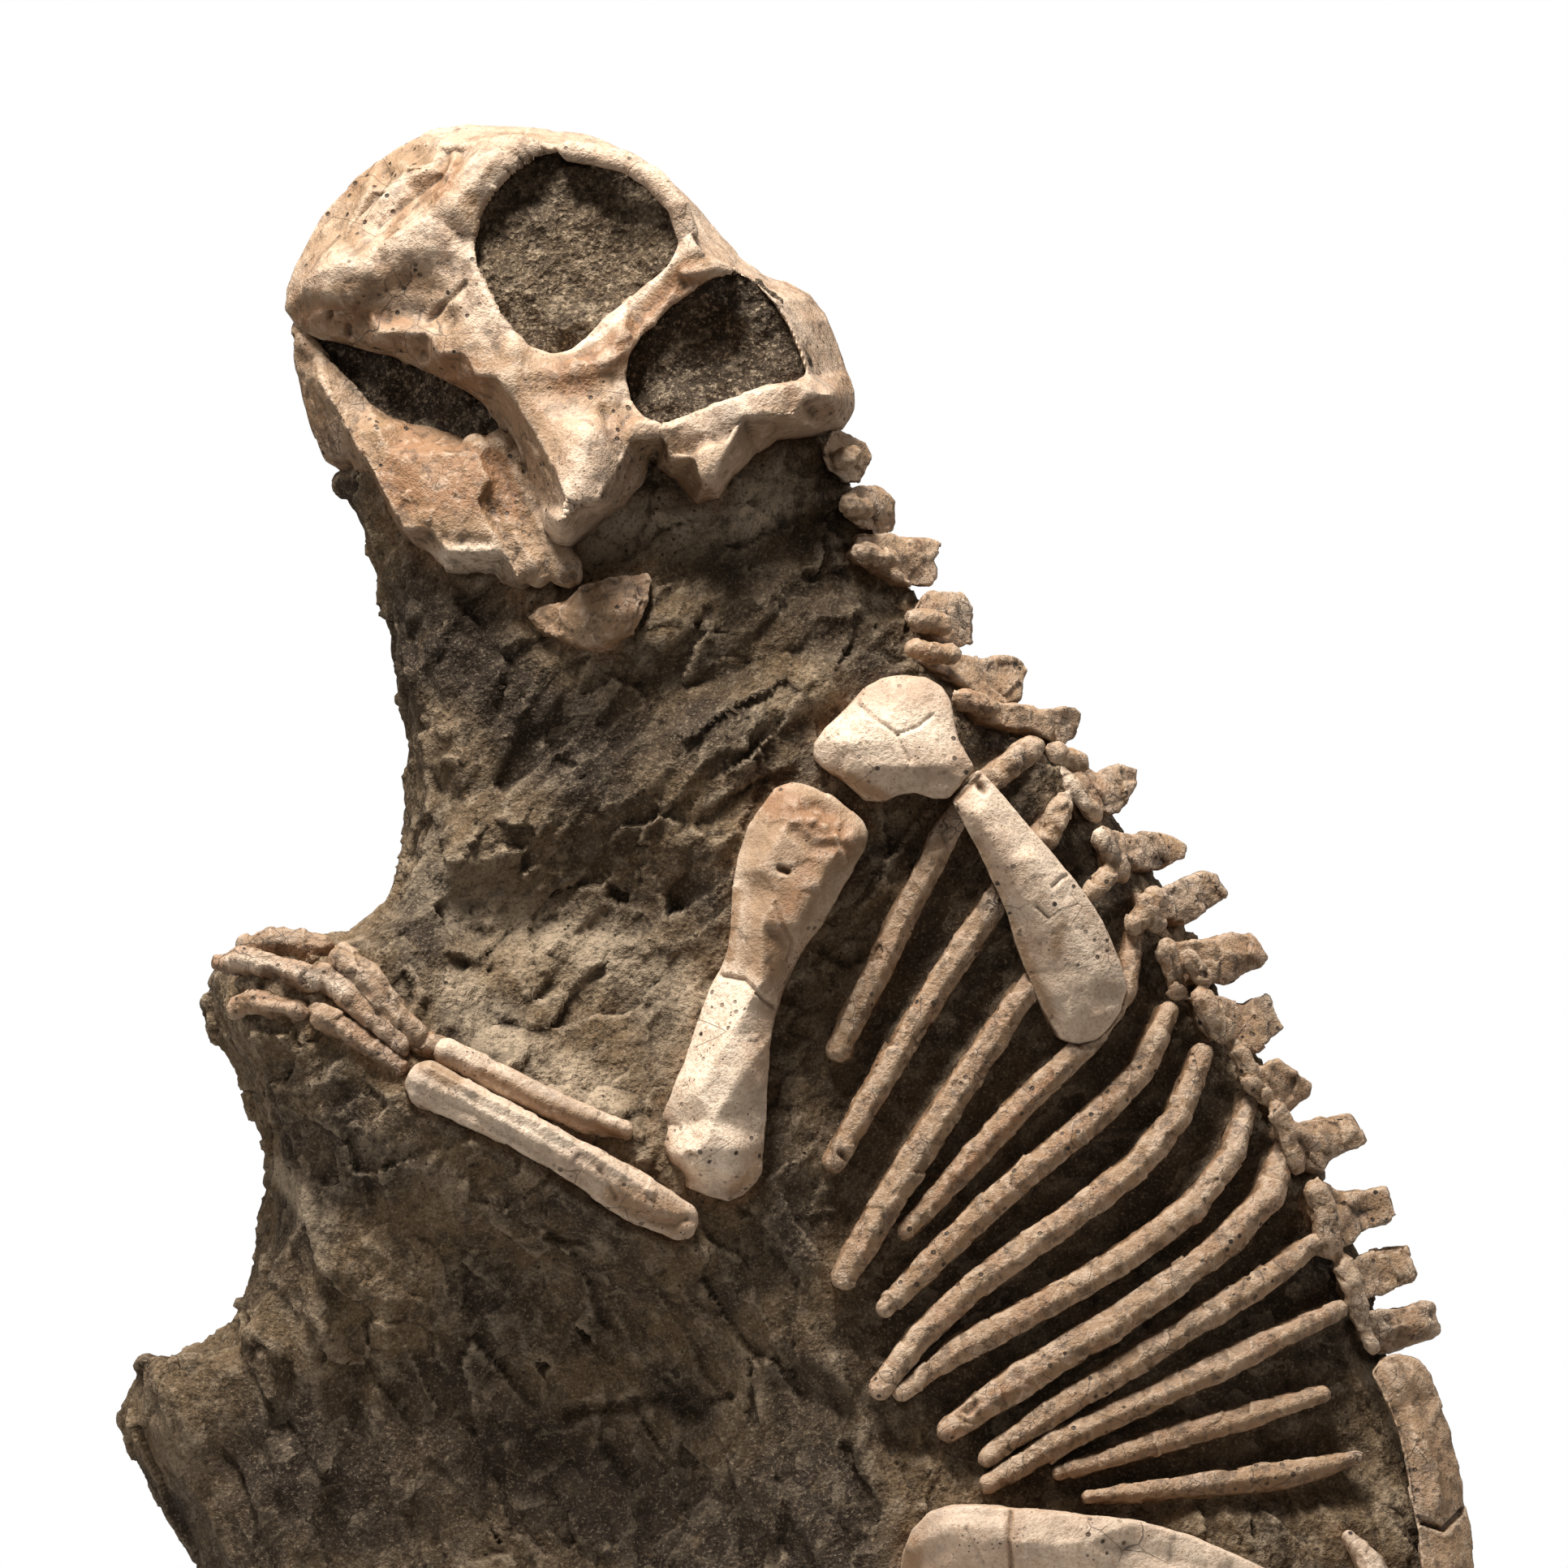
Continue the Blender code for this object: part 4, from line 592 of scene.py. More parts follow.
def soft_mean(values, edges, rounds):
    """Values averaged with their neighbours that many times."""
    count = len(values)
    links = np.bincount(edges.ravel(), minlength=count).astype(float)
    for _ in range(rounds):
        total = np.stack(
            [
                np.bincount(edges[:, 0], values[edges[:, 1], k], count)
                + np.bincount(edges[:, 1], values[edges[:, 0], k], count)
                for k in range(values.shape[1])
            ],
            axis=1,
        )
        values = 0.5 * values + 0.5 * total / np.maximum(links, 1)[:, None]
    return values


def store(mesh, name, values):
    """Keeps one number per vertex, for the material to read."""
    layer = mesh.attributes.new(name, "FLOAT", "POINT")
    layer.data.foreach_set("value", np.asarray(values, np.float32))


def store_hollows(mesh, reach, rounds):
    """Keeps how hollow the surface is at each vertex: 0 on a crest, 0.5 on the flat, 1 in a pit."""
    points = coordinates(mesh)
    edges = np.empty(len(mesh.edges) * 2, np.int32)
    mesh.edges.foreach_get("vertices", edges)
    softened = soft_mean(points, edges.reshape(-1, 2), rounds)
    depth = ((softened - points) * normals(mesh)).sum(axis=1)
    store(mesh, "hollow", np.clip(0.5 + depth / (2 * reach), 0, 1))


def tree_of(*names):
    """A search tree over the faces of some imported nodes."""
    points, faces = [], []
    for name in names:
        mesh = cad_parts[name].data
        first = len(points)
        points += [v.co.copy() for v in mesh.vertices]
        faces += [tuple(first + i for i in p.vertices) for p in mesh.polygons]
    return BVHTree.FromPolygons(points, faces)


def reach_to(tree, points, limit):
    """(distance, nearest normal) from each point to a tree's surface, no farther than limit."""
    distance = np.full(len(points), limit)
    facing = np.zeros((len(points), 3))
    for i, point in enumerate(points):
        _, normal, _, away = tree.find_nearest(Vector(point), limit)
        if normal is not None:
            distance[i] = away
            facing[i] = normal
    return distance, facing


def remade(name, mesh, voxel, rounds):
    """A mesh rebuilt from even, small faces and smoothed."""
    holder = bpy.data.objects.new(name, mesh)
    bpy.context.scene.collection.objects.link(holder)
    remesh = holder.modifiers.new("even faces", "REMESH")
    remesh.mode = "VOXEL"
    remesh.voxel_size = voxel
    soften = holder.modifiers.new("soften", "SMOOTH")
    soften.factor = 0.5
    soften.iterations = rounds
    graph = bpy.context.evaluated_depsgraph_get()
    made = bpy.data.meshes.new_from_object(holder.evaluated_get(graph))
    made.name = name
    holder.modifiers.clear()
    holder.data = made
    made.shade_smooth()
    made.materials.clear()
    return holder


def thin_out(piece, triangles, kept=None):
    """Merges small faces until that many triangles are left, but none at the kept vertices."""
    count = sum(len(p.vertices) - 2 for p in piece.data.polygons)
    if count <= triangles:
        return
    thin = piece.modifiers.new("thin", "DECIMATE")
    thin.ratio = triangles / count
    if kept is not None:
        group = piece.vertex_groups.new(name="free")
        group.add([int(i) for i in np.flatnonzero(~kept)], 1.0, "REPLACE")
        thin.vertex_group = group.name
        thin.vertex_group_factor = 1000
    graph = bpy.context.evaluated_depsgraph_get()
    made = bpy.data.meshes.new_from_object(piece.evaluated_get(graph))
    made.name = piece.name
    piece.modifiers.clear()
    piece.vertex_groups.clear()
    piece.data = made
    made.shade_smooth()


def rod(form, stations, half_width, rings=8):
    """Adds a round rod along stations (u, v, depth) to a bmesh."""
    centres = [place(*s) for s in stations]
    radius = half_width * METRES_PER_PX
    first = (centres[1] - centres[0]).normalized()
    last = (centres[-1] - centres[-2]).normalized()
    centres = [centres[0] - first * radius * 0.8, *centres, centres[-1] + last * radius * 0.8]
    rows = []
    for i, centre in enumerate(centres):
        along = (centres[min(i + 1, len(centres) - 1)] - centres[max(i - 1, 0)]).normalized()
        across = along.cross(Vector((0, 1, 0))).normalized()
        other = along.cross(across)
        size = radius * (0.45 if i in (0, len(centres) - 1) else 1)
        turns = [2 * math.pi * k / rings for k in range(rings)]
        ring = [centre + size * (across * math.cos(t) + other * math.sin(t)) for t in turns]
        rows.append([form.verts.new(point) for point in ring])
    for low, high in zip(rows[:-1], rows[1:]):
        for k in range(rings):
            form.faces.new((low[k], low[(k + 1) % rings], high[(k + 1) % rings], high[k]))
    form.faces.new(rows[0])
    form.faces.new(rows[-1])


def joined_mesh(name, nodes, extras=()):
    """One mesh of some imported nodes, with rods added."""
    form = bmesh.new()
    for node in nodes:
        form.from_mesh(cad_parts[node].data)
    for stations, half_width in extras:
        rod(form, stations, half_width)
    bmesh.ops.recalc_face_normals(form, faces=form.faces)
    mesh = bpy.data.meshes.new(name)
    form.to_mesh(mesh)
    form.free()
    return mesh


def seat_in_rock(mesh, rock, depth):
    """Runs a bone on into the rock where it touches it, so that no gap shows."""
    points = coordinates(mesh)
    away, facing = reach_to(rock, points, TOUCHING)
    touching = (away < TOUCHING)[:, None]
    set_coordinates(mesh, np.where(touching, points - facing * depth, points))


def finish_piece(piece, nodes, material):
    """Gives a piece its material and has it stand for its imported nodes."""
    if not piece.data.polygons:
        raise RuntimeError(f"{piece.name} has no surface")
    piece.data.materials.append(material)
    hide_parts(*nodes)
    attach(piece, "root")


def make_bone(
    name, nodes, look, voxel, budget, strokes=(), tones=(), wear=1.0, rounds=3, extras=(), back=False,
    swell=0.0,
):
    """Makes one bone or group of like bones: seated in the rock, remade from small faces, then worn and
    drawn on. Rounds is how often it is smoothed, back says that its far side is drawn on too, and swell is
    how many millimetres it grows."""
    sizes = bpy.context.scene.fossil_sizes
    rock = tree_of("rock")
    mesh = joined_mesh(name, nodes, extras)
    seat_in_rock(mesh, rock, sizes.seat_depth)
    piece = remade(name, mesh, voxel, rounds)
    mesh = piece.data
    points, facing = coordinates(mesh), normals(mesh)
    height = sizes.bone_wear * wear * (
        1.1 * lumps(points, 8 * MM, 3)
        + 1.6 * chips(points, 6.5 * MM, 61)
        + 0.8 * lumps(points, 3.2 * MM, 5)
        + 0.5 * lumps(points, 1.5 * MM, 8)
    )
    height += swell * MM
    if strokes:
        toward = np.abs(facing[:, 1]) if back else -facing[:, 1]
        height += drawn_relief(to_pixels(points), strokes) * np.clip(toward * 2.2 - 0.5, 0, 1)
    set_coordinates(mesh, points + facing * height[:, None])
    thin_out(piece, budget)
    mesh = piece.data
    points = coordinates(mesh)
    seat, _ = reach_to(rock, points, STAIN_REACH)
    store(mesh, "seat", 1 - seat / STAIN_REACH)
    store(mesh, "tone", drawn_relief(to_pixels(points), tones) / MM)
    store_hollows(mesh, 0.4 * MM, 6)
    finish_piece(piece, nodes, look)


def add_node(tree, kind, settings, output=0):
    """Adds a shader node and gives back one of its outputs. A setting is a property of the node, or the
    value or link of one of its inputs."""
    node = tree.nodes.new(kind)
    for key, value in settings.items():
        if isinstance(key, str) and hasattr(node, key):
            setattr(node, key, value)
        elif isinstance(value, bpy.types.NodeSocket):
            tree.links.new(value, node.inputs[key])
        else:
            node.inputs[key].default_value = value
    return node.outputs[output] if node.outputs else None


def blank_material(name):
    """A new material without nodes, and its node tree."""
    material = bpy.data.materials.new(name)
    material.use_nodes = True
    material.node_tree.nodes.clear()
    return material, material.node_tree


def share_of(tree, strength, *ranges):
    """A share up to strength, reached where each source has passed its range (source, low, high)."""
    share = strength
    for source, low, high in ranges:
        risen = add_node(
            tree,
            "ShaderNodeMapRange",
            {"interpolation_type": "SMOOTHSTEP", "Value": source, "From Min": low, "From Max": high},
        )
        share = add_node(tree, "ShaderNodeMath", {"operation": "MULTIPLY", 0: risen, 1: share})
    return share


def crack_net(tree, position, size_mm):
    """How far a place lies from a wandering network of cracks with meshes of about that size."""
    bend = add_node(
        tree, "ShaderNodeTexNoise", {"Vector": position, "Scale": 420.0 / size_mm, "Detail": 2.0}, "Color"
    )
    moved = add_node(
        tree, "ShaderNodeMix", {"data_type": "VECTOR", 0: 0.0003 * size_mm, 4: position, 5: bend}, 1
    )
    return add_node(
        tree,
        "ShaderNodeTexVoronoi",
        {"feature": "DISTANCE_TO_EDGE", "Vector": moved, "Scale": 1000.0 / size_mm},
    )


def bone_material(name, pale, crazed, worn):
    """Fossil bone, filled with minerals and cleaned by hand with scrapers. To the eye it is matt, pale where
    it was scraped clean and orange-brown with iron near the rock and along its edges, with dirt in its cracks
    and small open pits. Its crests are painted lighter as painted highlight, and its hollows darker with dirt
    and painted shade. Its crazing cracks are about 0.1 mm wide, drawn at 0.25 mm so that they show."""
    colours = bpy.context.scene.fossil_colours
    light, mid, grey, tan, stain, dirt_and_shade, crust = (
        (*shade, 1.0)
        for shade in (
            colours.bone_light, colours.bone_mid, colours.bone_grey, colours.bone_tan, colours.bone_stain,
            colours.bone_crack_and_shade, colours.rock_mid,
        )
    )
    material, tree = blank_material(name)
    position = add_node(tree, "ShaderNodeTexCoord", {}, "Object")
    hollow, seat, tone = (
        add_node(tree, "ShaderNodeAttribute", {"attribute_name": key}, "Fac")
        for key in ("hollow", "seat", "tone")
    )
    cloud = {
        size: add_node(
            tree,
            "ShaderNodeTexNoise",
            {"Vector": position, "Scale": 500.0 / size, "Detail": detail, "Roughness": roughness},
        )
        for size, detail, roughness in BONE_CLOUDS
    }
    wide, narrow = crack_net(tree, position, 14), crack_net(tree, position, 3.4)
    large, small = (
        add_node(tree, "ShaderNodeTexVoronoi", {"Vector": position, "Scale": 1000.0 / spacing})
        for spacing in (3.846, 1.613)
    )
    cracks = share_of(tree, 0.7, (wide, 0.013, 0.005), (cloud[18], 0.5, 0.62))
    crazing = share_of(tree, crazed, (narrow, 0.042, 0.015), (cloud[10], 0.5, 0.64))
    pits = share_of(tree, 1.0, (large, 0.22, 0.12), (cloud[18], 0.46, 0.6))
    pin_holes = share_of(tree, 0.9, (small, 0.24, 0.14), (cloud[6], 0.5, 0.62))
    colour = mid if pale > 0.4 else tan
    for share, tint in (
        (share_of(tree, pale, (cloud[16], 0.36, 0.62)), light),
        (share_of(tree, 0.5, (cloud[10], 0.48, 0.7)), grey),
        (share_of(tree, 1.0, (tone, 0.0, 1.0)), light),
        (share_of(tree, 0.85, (tone, 0.0, -1.0)), tan),
        (share_of(tree, 0.6, (tone, -1.0, -2.0)), stain),
        # Painted highlight: crests lighter
        (share_of(tree, 0.3, (hollow, 0.46, 0.15)), light),
        (share_of(tree, 0.2 + 0.3 * worn, (cloud[6], 0.5, 0.66)), stain),
        (share_of(tree, 0.55, (seat, 0.35, 0.95), (cloud[5], 0.3, 0.6)), stain),
        (share_of(tree, 0.2 + 0.3 * worn, (cloud[2.2], 0.52, 0.7)), tan),
        (share_of(tree, 0.3, (cloud[3], 0.54, 0.7)), light),
        # Dirt and painted shade: hollows darker
        (share_of(tree, 0.3 + 0.5 * worn, (hollow, 0.57, 0.95)), dirt_and_shade),
        (share_of(tree, 0.75, (seat, 0.8, 1.0), (cloud[5], 0.36, 0.6)), crust),
        (share_of(tree, 0.6 * worn, (cloud[2.1], 0.5, 0.36)), dirt_and_shade),
        (cracks, dirt_and_shade),
        (crazing, dirt_and_shade),
        (pits, dirt_and_shade),
        (pin_holes, dirt_and_shade),
        (share_of(tree, 0.55, (cloud[0.5], 0.52, 0.3)), tan),
    ):
        colour = add_node(tree, "ShaderNodeMix", {"data_type": "RGBA", 0: share, 6: colour, 7: tint}, 2)
    height = 0.0
    for source, weight in ((cloud[2.1], 0.2 + 0.45 * worn), (cloud[0.5], 0.4 + 0.25 * worn), (pits, -0.5)):
        height = add_node(
            tree, "ShaderNodeMath", {"operation": "MULTIPLY_ADD", 0: source, 1: weight, 2: height}
        )
    bump = add_node(tree, "ShaderNodeBump", {"Height": height, "Strength": 0.9, "Distance": 1.0 * MM})
    shader = add_node(
        tree,
        "ShaderNodeBsdfPrincipled",
        {"Base Color": colour, "Normal": bump, "Roughness": 0.6, "IOR": 1.5, "Specular IOR Level": 0.35},
    )
    add_node(tree, "ShaderNodeOutputMaterial", {"Surface": shader})
    return material


def facets(tree, position, length_mm, width_mm, turn):
    """Height of small flat chips, each with a tilt of its own, laid along chisel strokes at that angle."""
    laid = add_node(
        tree,
        "ShaderNodeMapping",
        {
            "vector_type": "TEXTURE", "Vector": position, "Rotation": (0.0, turn, 0.0),
            "Scale": (length_mm * MM, width_mm * MM, width_mm * MM),
        },
    )
    centre = add_node(tree, "ShaderNodeTexVoronoi", {"Vector": laid, "Scale": 1.0}, "Position")
    apart = add_node(tree, "ShaderNodeVectorMath", {"operation": "SUBTRACT", 0: laid, 1: centre})
    tilt = add_node(
        tree,
        "ShaderNodeVectorMath",
        {"operation": "SUBTRACT", 0: centre.node.outputs["Color"], 1: (0.5, 0.5, 0.5)},
    )
    return add_node(tree, "ShaderNodeVectorMath", {"operation": "DOT_PRODUCT", 0: apart, 1: tilt}, "Value")


def rock_material(name, gritty):
    """Tuffaceous sandstone, cut back with small chisels. To the eye it has dusty pale chip faces, gritty
    hollows and brown iron stain near the bones. Its hollows and shaded places are painted darker as painted
    shade, its crests lighter as painted highlight, and its dusty places carry painted light. Its grit is
    about
    0.5 mm, drawn at 0.8 mm so that it shows."""
    colours = bpy.context.scene.fossil_colours
    dark, mid, light, stain = (
        (*shade, 1.0)
        for shade in (colours.rock_dark, colours.rock_mid, colours.rock_light, colours.bone_stain)
    )
    material, tree = blank_material(name)
    position = add_node(tree, "ShaderNodeTexCoord", {}, "Object")
    hollow, seat, shade, dust_and_light = (
        add_node(tree, "ShaderNodeAttribute", {"attribute_name": key}, "Fac")
        for key in ("hollow", "seat", "shade", "dust_and_light")
    )
    cloud = {
        size: add_node(
            tree,
            "ShaderNodeTexNoise",
            {"Vector": position, "Scale": 500.0 / size, "Detail": detail, "Roughness": roughness},
        )
        for size, detail, roughness in ROCK_CLOUDS
    }
    specks, grit = (
        add_node(tree, "ShaderNodeTexVoronoi", {"Vector": position, "Scale": 1000.0 / spacing})
        for spacing in (3.333, 1.613)
    )
    wide_chips = facets(tree, position, 11.0, 6.0, math.radians(-38))
    narrow_chips = facets(tree, position, 4.4, 2.2, math.radians(-55))
    colour = dark
    for share, tint in (
        (share_of(tree, 1.0, (cloud[20], 0.34, 0.6)), mid),
        (share_of(tree, 0.4, (cloud[7], 0.52, 0.68)), light),
        (share_of(tree, 0.5, (cloud[4], 0.52, 0.66)), dark),
        # Pale dust and painted light: lighter rock where the drawn strokes say so
        (share_of(tree, 0.9, (dust_and_light, 0.0, 1.0), (cloud[5], 0.2, 0.55)), light),
        # Painted highlight on crests and painted shade in hollows
        (share_of(tree, 0.35, (hollow, 0.46, 0.1)), light),
        (share_of(tree, 0.7, (hollow, 0.54, 0.95)), dark),
        (share_of(tree, 0.3, (seat, 0.4, 0.98), (cloud[6], 0.4, 0.62)), stain),
        # Painted shade: darker rock in the rib bed, in the head openings and where shadow is drawn
        (share_of(tree, 1.0, (shade, 0.0, 1.0), (cloud[2.5], 0.2, 0.5)), dark),
        (share_of(tree, 0.25, (wide_chips, 0.0, 0.35)), light),
        (share_of(tree, 0.3, (narrow_chips, 0.0, -0.35)), dark),
        (share_of(tree, 0.45 + 0.3 * gritty, (cloud[0.45], 0.52, 0.75)), light),
        (share_of(tree, 0.7 + 0.2 * gritty, (cloud[0.45], 0.47, 0.3)), dark),
        (share_of(tree, 0.6 * gritty, (cloud[1.1], 0.5, 0.36)), dark),
        (share_of(tree, 0.45 * gritty, (cloud[1.1], 0.55, 0.7)), light),
        (share_of(tree, 0.9, (specks, 0.18, 0.1), (cloud[6], 0.46, 0.58)), dark),
        (share_of(tree, 0.6, (grit, 0.22, 0.12), (cloud[4], 0.44, 0.56)), dark),
    ):
        colour = add_node(tree, "ShaderNodeMix", {"data_type": "RGBA", 0: share, 6: colour, 7: tint}, 2)
    height = 0.0
    for source, weight in (
        (wide_chips, 1.5 * (1 - gritty)),
        (narrow_chips, 0.8 * (1 - gritty)),
        (cloud[2], 1.0 + 0.4 * gritty),
        (cloud[0.45], 0.35 + 0.2 * gritty),
        (grit, 0.3 + 0.3 * gritty),
    ):
        height = add_node(
            tree, "ShaderNodeMath", {"operation": "MULTIPLY_ADD", 0: source, 1: weight, 2: height}
        )
    bump = add_node(tree, "ShaderNodeBump", {"Height": height, "Strength": 1.0, "Distance": 1.4 * MM})
    shader = add_node(
        tree,
        "ShaderNodeBsdfPrincipled",
        {"Base Color": colour, "Normal": bump, "Roughness": 0.85, "IOR": 1.5, "Specular IOR Level": 0.25},
    )
    add_node(tree, "ShaderNodeOutputMaterial", {"Surface": shader})
    return material


def material_named(name):
    """One of the stones by its name, made when it is first asked for."""
    made = bpy.data.materials.get(name)
    if made is None and name in BONE_LOOKS:
        made = bone_material(name, *BONE_LOOKS[name])
    elif made is None:
        made = rock_material(name, ROCK_LOOKS[name])
    return made


class FOSSIL_OT_rock(bpy.types.Operator):
    """Make the chiselled rock block"""

    bl_idname = "fossil.rock"
    bl_label = "Rock"

    def execute(self, context):
        sizes = context.scene.fossil_sizes
        mesh = joined_mesh("rock_surface", ["rock"], ROCK_EXTRAS)
        piece = remade("rock_surface", mesh, sizes.rock_voxel, 5)
        points = coordinates(piece.data)
        shown = (points[:, 1] < FINE_IN_FRONT_OF) & (to_pixels(points)[:, 1] < FINE_ABOVE_V)
        thin_out(piece, 2 * int(shown.sum()) + COARSE_ROCK_TRIANGLES, shown)
        mesh = piece.data
        points, facing = coordinates(mesh), normals(mesh)
        pixels = to_pixels(points)

        # The bed of the ribs lies back between them, and the drawn forms stand on the front
        front = np.clip(-facing[:, 1] * 2.0, 0, 1)
        rib_reach, _ = reach_to(tree_of(*RIB_BONES), points, 4 * MM)
        bones, _ = reach_to(tree_of(*BONES), points, 6 * MM)
        bed = inside_share(pixels, RIB_BED, 45) * front
        between = bed * np.clip(rib_reach / (2.4 * MM), 0, 1)
        height = -sizes.rib_hollow * between + drawn_relief(pixels, ROCK_STROKES) * front

        # Chisel chips, laid along strokes that climb to the right, and that fall below the forearm
        wander = np.stack([lumps(points, 16 * MM, 51 + k) for k in range(3)], axis=1) * 2.5 * MM
        level = np.clip((BASE_V - pixels[:, 1]) / 40, 0, 1) * (1 - 0.8 * bed)
        falling = np.clip((pixels[:, 1] - 1430) / 120, 0, 1)
        scooped = np.zeros(len(points))
        for degrees, stretch, share in ((38, 0.5, 1 - falling), (-62, 0.3, falling)):
            along, across = math.cos(math.radians(degrees)), math.sin(math.radians(degrees))
            strokes = np.array([[along * stretch, 0, -across], [0, 1, 0], [across * stretch, 0, along]])
            laid = (points + wander) @ strokes
            scooped += share * (
                chips(laid, sizes.chip_size, 21) + 0.32 * chips(laid, sizes.chip_size * 0.45, 31)
            )
        height += sizes.chip_height * level * (scooped - 0.05)

        # Worn unevenness, lower next to the bones so that it doesn't cover them
        height += level * MM * (1.0 * lumps(points, 14 * MM, 17) + 0.2 * lumps(points, 2.6 * MM, 13))
        height += bed * MM * (1.0 * lumps(points, 5 * MM, 19) + 0.8 * lumps(points, 2.4 * MM, 23))
        height = np.where(height > 0, height * np.clip(bones / (5 * MM), 0.15, 1), height)
        set_coordinates(mesh, points + facing * height[:, None])

        # What the material reads: nearness of bone, painted shade, pale dust with painted light,
        # and how hollow the surface is, for painted shade in hollows and painted highlight on crests
        thin_out(piece, ROCK_TRIANGLES)
        mesh = piece.data
        points = coordinates(mesh)
        pixels = to_pixels(points)
        bones, _ = reach_to(tree_of(*BONES), points, STAIN_REACH)
        store(mesh, "seat", 1 - bones / STAIN_REACH)
        # Painted shade: the bed of the ribs and the drawn shadows get darker rock
        shade = 0.5 * inside_share(pixels, RIB_BED, 60) + drawn_relief(pixels, ROCK_PAINTED_SHADOWS) / MM
        store(mesh, "shade", np.clip(shade, 0, 1))
        # Pale dust and painted light
        store(mesh, "dust_and_light", np.clip(drawn_relief(pixels, ROCK_DUST_AND_LIGHT) / MM, 0, 1))
        store_hollows(mesh, 0.9 * MM, 5)
        finish_piece(piece, ["rock"], material_named("chiselled tuff sandstone"))
        return {"FINISHED"}


class FOSSIL_OT_head_rock(bpy.types.Operator):
    """Make the gritty rock inside the eye socket, temple opening and mouth"""

    bl_idname = "fossil.head_rock"
    bl_label = "Rock in the head"

    def execute(self, context):
        head = tree_of("skull", "lower_jaw")
        # Each opening's rock gets painted shade, darkest in the mouth, and a little pale dust with painted
        # light
        for node, shade, dust_and_light, budget in (
            ("eye_socket_rock", 0.5, 0.2, 34000),
            ("temple_rock", 0.8, 0.1, 28000),
            ("mouth_rock", 1.0, 0.0, 14000),
        ):
            mesh = joined_mesh(node + "_surface", [node])
            points = coordinates(mesh)
            away, toward = reach_to(head, points, 1.3 * MM)
            push = (away < 1.3 * MM)[:, None] * -toward * 1.6 * MM  # closes the gap to the bone around it
            set_coordinates(mesh, points + push)
            piece = remade(node + "_surface", mesh, 0.8 * MM, 3)
            mesh = piece.data
            points, facing = coordinates(mesh), normals(mesh)
            height = 1.8 * lumps(points, 10 * MM, 41)
            height += 1.1 * lumps(points, 4 * MM, 43)
            height += 0.8 * lumps(points, 1.9 * MM, 47)
            height += drawn_relief(to_pixels(points), HEAD_HOLLOWS) / MM
            set_coordinates(mesh, points + facing * (height * MM)[:, None])
            thin_out(piece, budget)
            mesh = piece.data
            points = coordinates(mesh)
            store(mesh, "seat", np.zeros(len(points)))
            store(mesh, "shade", np.full(len(points), shade))
            store(mesh, "dust_and_light", np.full(len(points), dust_and_light))
            store_hollows(mesh, 0.8 * MM, 6)
            finish_piece(piece, [node], material_named("gritty tuff sandstone"))
        return {"FINISHED"}


class FOSSIL_OT_head(bpy.types.Operator):
    """Make the skull, the lower jaw and the throat bone"""

    bl_idname = "fossil.head"
    bl_label = "Head"

    def execute(self, context):
        voxel = context.scene.fossil_sizes.head_voxel
        pale, tan = material_named("weathered fossil bone"), material_named("stained fossil bone")
        make_bone(
            "skull_bone", ["skull"], pale, voxel, 130000, SKULL_STROKES, SKULL_TONES,
            wear=0.6, rounds=5, extras=SKULL_EXTRAS, back=True,
        )
        make_bone(
            "lower_jaw_bone", ["lower_jaw"], tan, voxel, 50000, JAW_STROKES, JAW_TONES,
            wear=0.9, rounds=5, extras=JAW_EDGE, back=True,
        )
        make_bone(
            "throat_plate", ["throat_bone"], tan, voxel, 12000, THROAT_STROKES, THROAT_TONES,
            wear=1.4,
        )
        return {"FINISHED"}


class FOSSIL_OT_arm(bpy.types.Operator):
    """Make the shoulder, the arm and the hand"""

    bl_idname = "fossil.arm"
    bl_label = "Shoulder, arm and hand"

    def execute(self, context):
        voxel = context.scene.fossil_sizes.bone_voxel
        pale, tan = material_named("scraped fossil bone"), material_named("stained fossil bone")
        for name, node, strokes, tones, wear, rounds, swell in (
            ("coracoid_bone", "coracoid", CORACOID_STROKES, CORACOID_TONES, 0.4, 14, 0.0),
            ("scapula_bone", "scapula", SCAPULA_STROKES, SCAPULA_TONES, 0.5, 14, 0.0),
            ("humerus_bone", "humerus", HUMERUS_STROKES, HUMERUS_TONES, 0.5, 16, 0.0),
            ("ulna_bone", "ulna", ULNA_STROKES, ULNA_TONES, 0.9, 6, 1.2),
            ("radius_bone", "radius", (), ULNA_TONES, 0.7, 6, 0.8),
        ):
            make_bone(
                name, [node], pale, voxel, 26000, strokes, tones, wear, rounds, swell=swell
            )
        make_bone(
            "hand_bones", HAND_BONES, tan, voxel, 40000, (), HAND_TONES,
            wear=1.6, rounds=4, extras=HAND_EXTRAS, swell=0.9,
        )
        return {"FINISHED"}


class FOSSIL_OT_ribs(bpy.types.Operator):
    """Make the ribs"""

    bl_idname = "fossil.ribs"
    bl_label = "Ribs"

    def execute(self, context):
        tan = material_named("stained fossil bone")
        voxel = context.scene.fossil_sizes.bone_voxel
        for node in RIB_BONES:
            make_bone(
                node + "_bone", [node], tan, voxel, 12000, RIB_STROKES, RIB_TONES,
                wear=1.0, rounds=8, swell=0.5,
            )
        return {"FINISHED"}


class FOSSIL_OT_backbone(bpy.types.Operator):
    """Make the vertebrae of the neck, back and tail"""

    bl_idname = "fossil.backbone"
    bl_label = "Backbone"

    def execute(self, context):
        tan = material_named("stained fossil bone")
        voxel = context.scene.fossil_sizes.bone_voxel
        for name, nodes, bosses in (
            ("neck_bones", NECK_BONES, NECK_BOSSES),
            ("back_bones", BACK_BONES, BACK_BOSSES),
            ("tail_bones", TAIL_BONES, ()),
        ):
            make_bone(
                name, nodes, tan, voxel, 44000, (), SPINE_TONES, wear=1.5, rounds=2, extras=bosses
            )
        return {"FINISHED"}


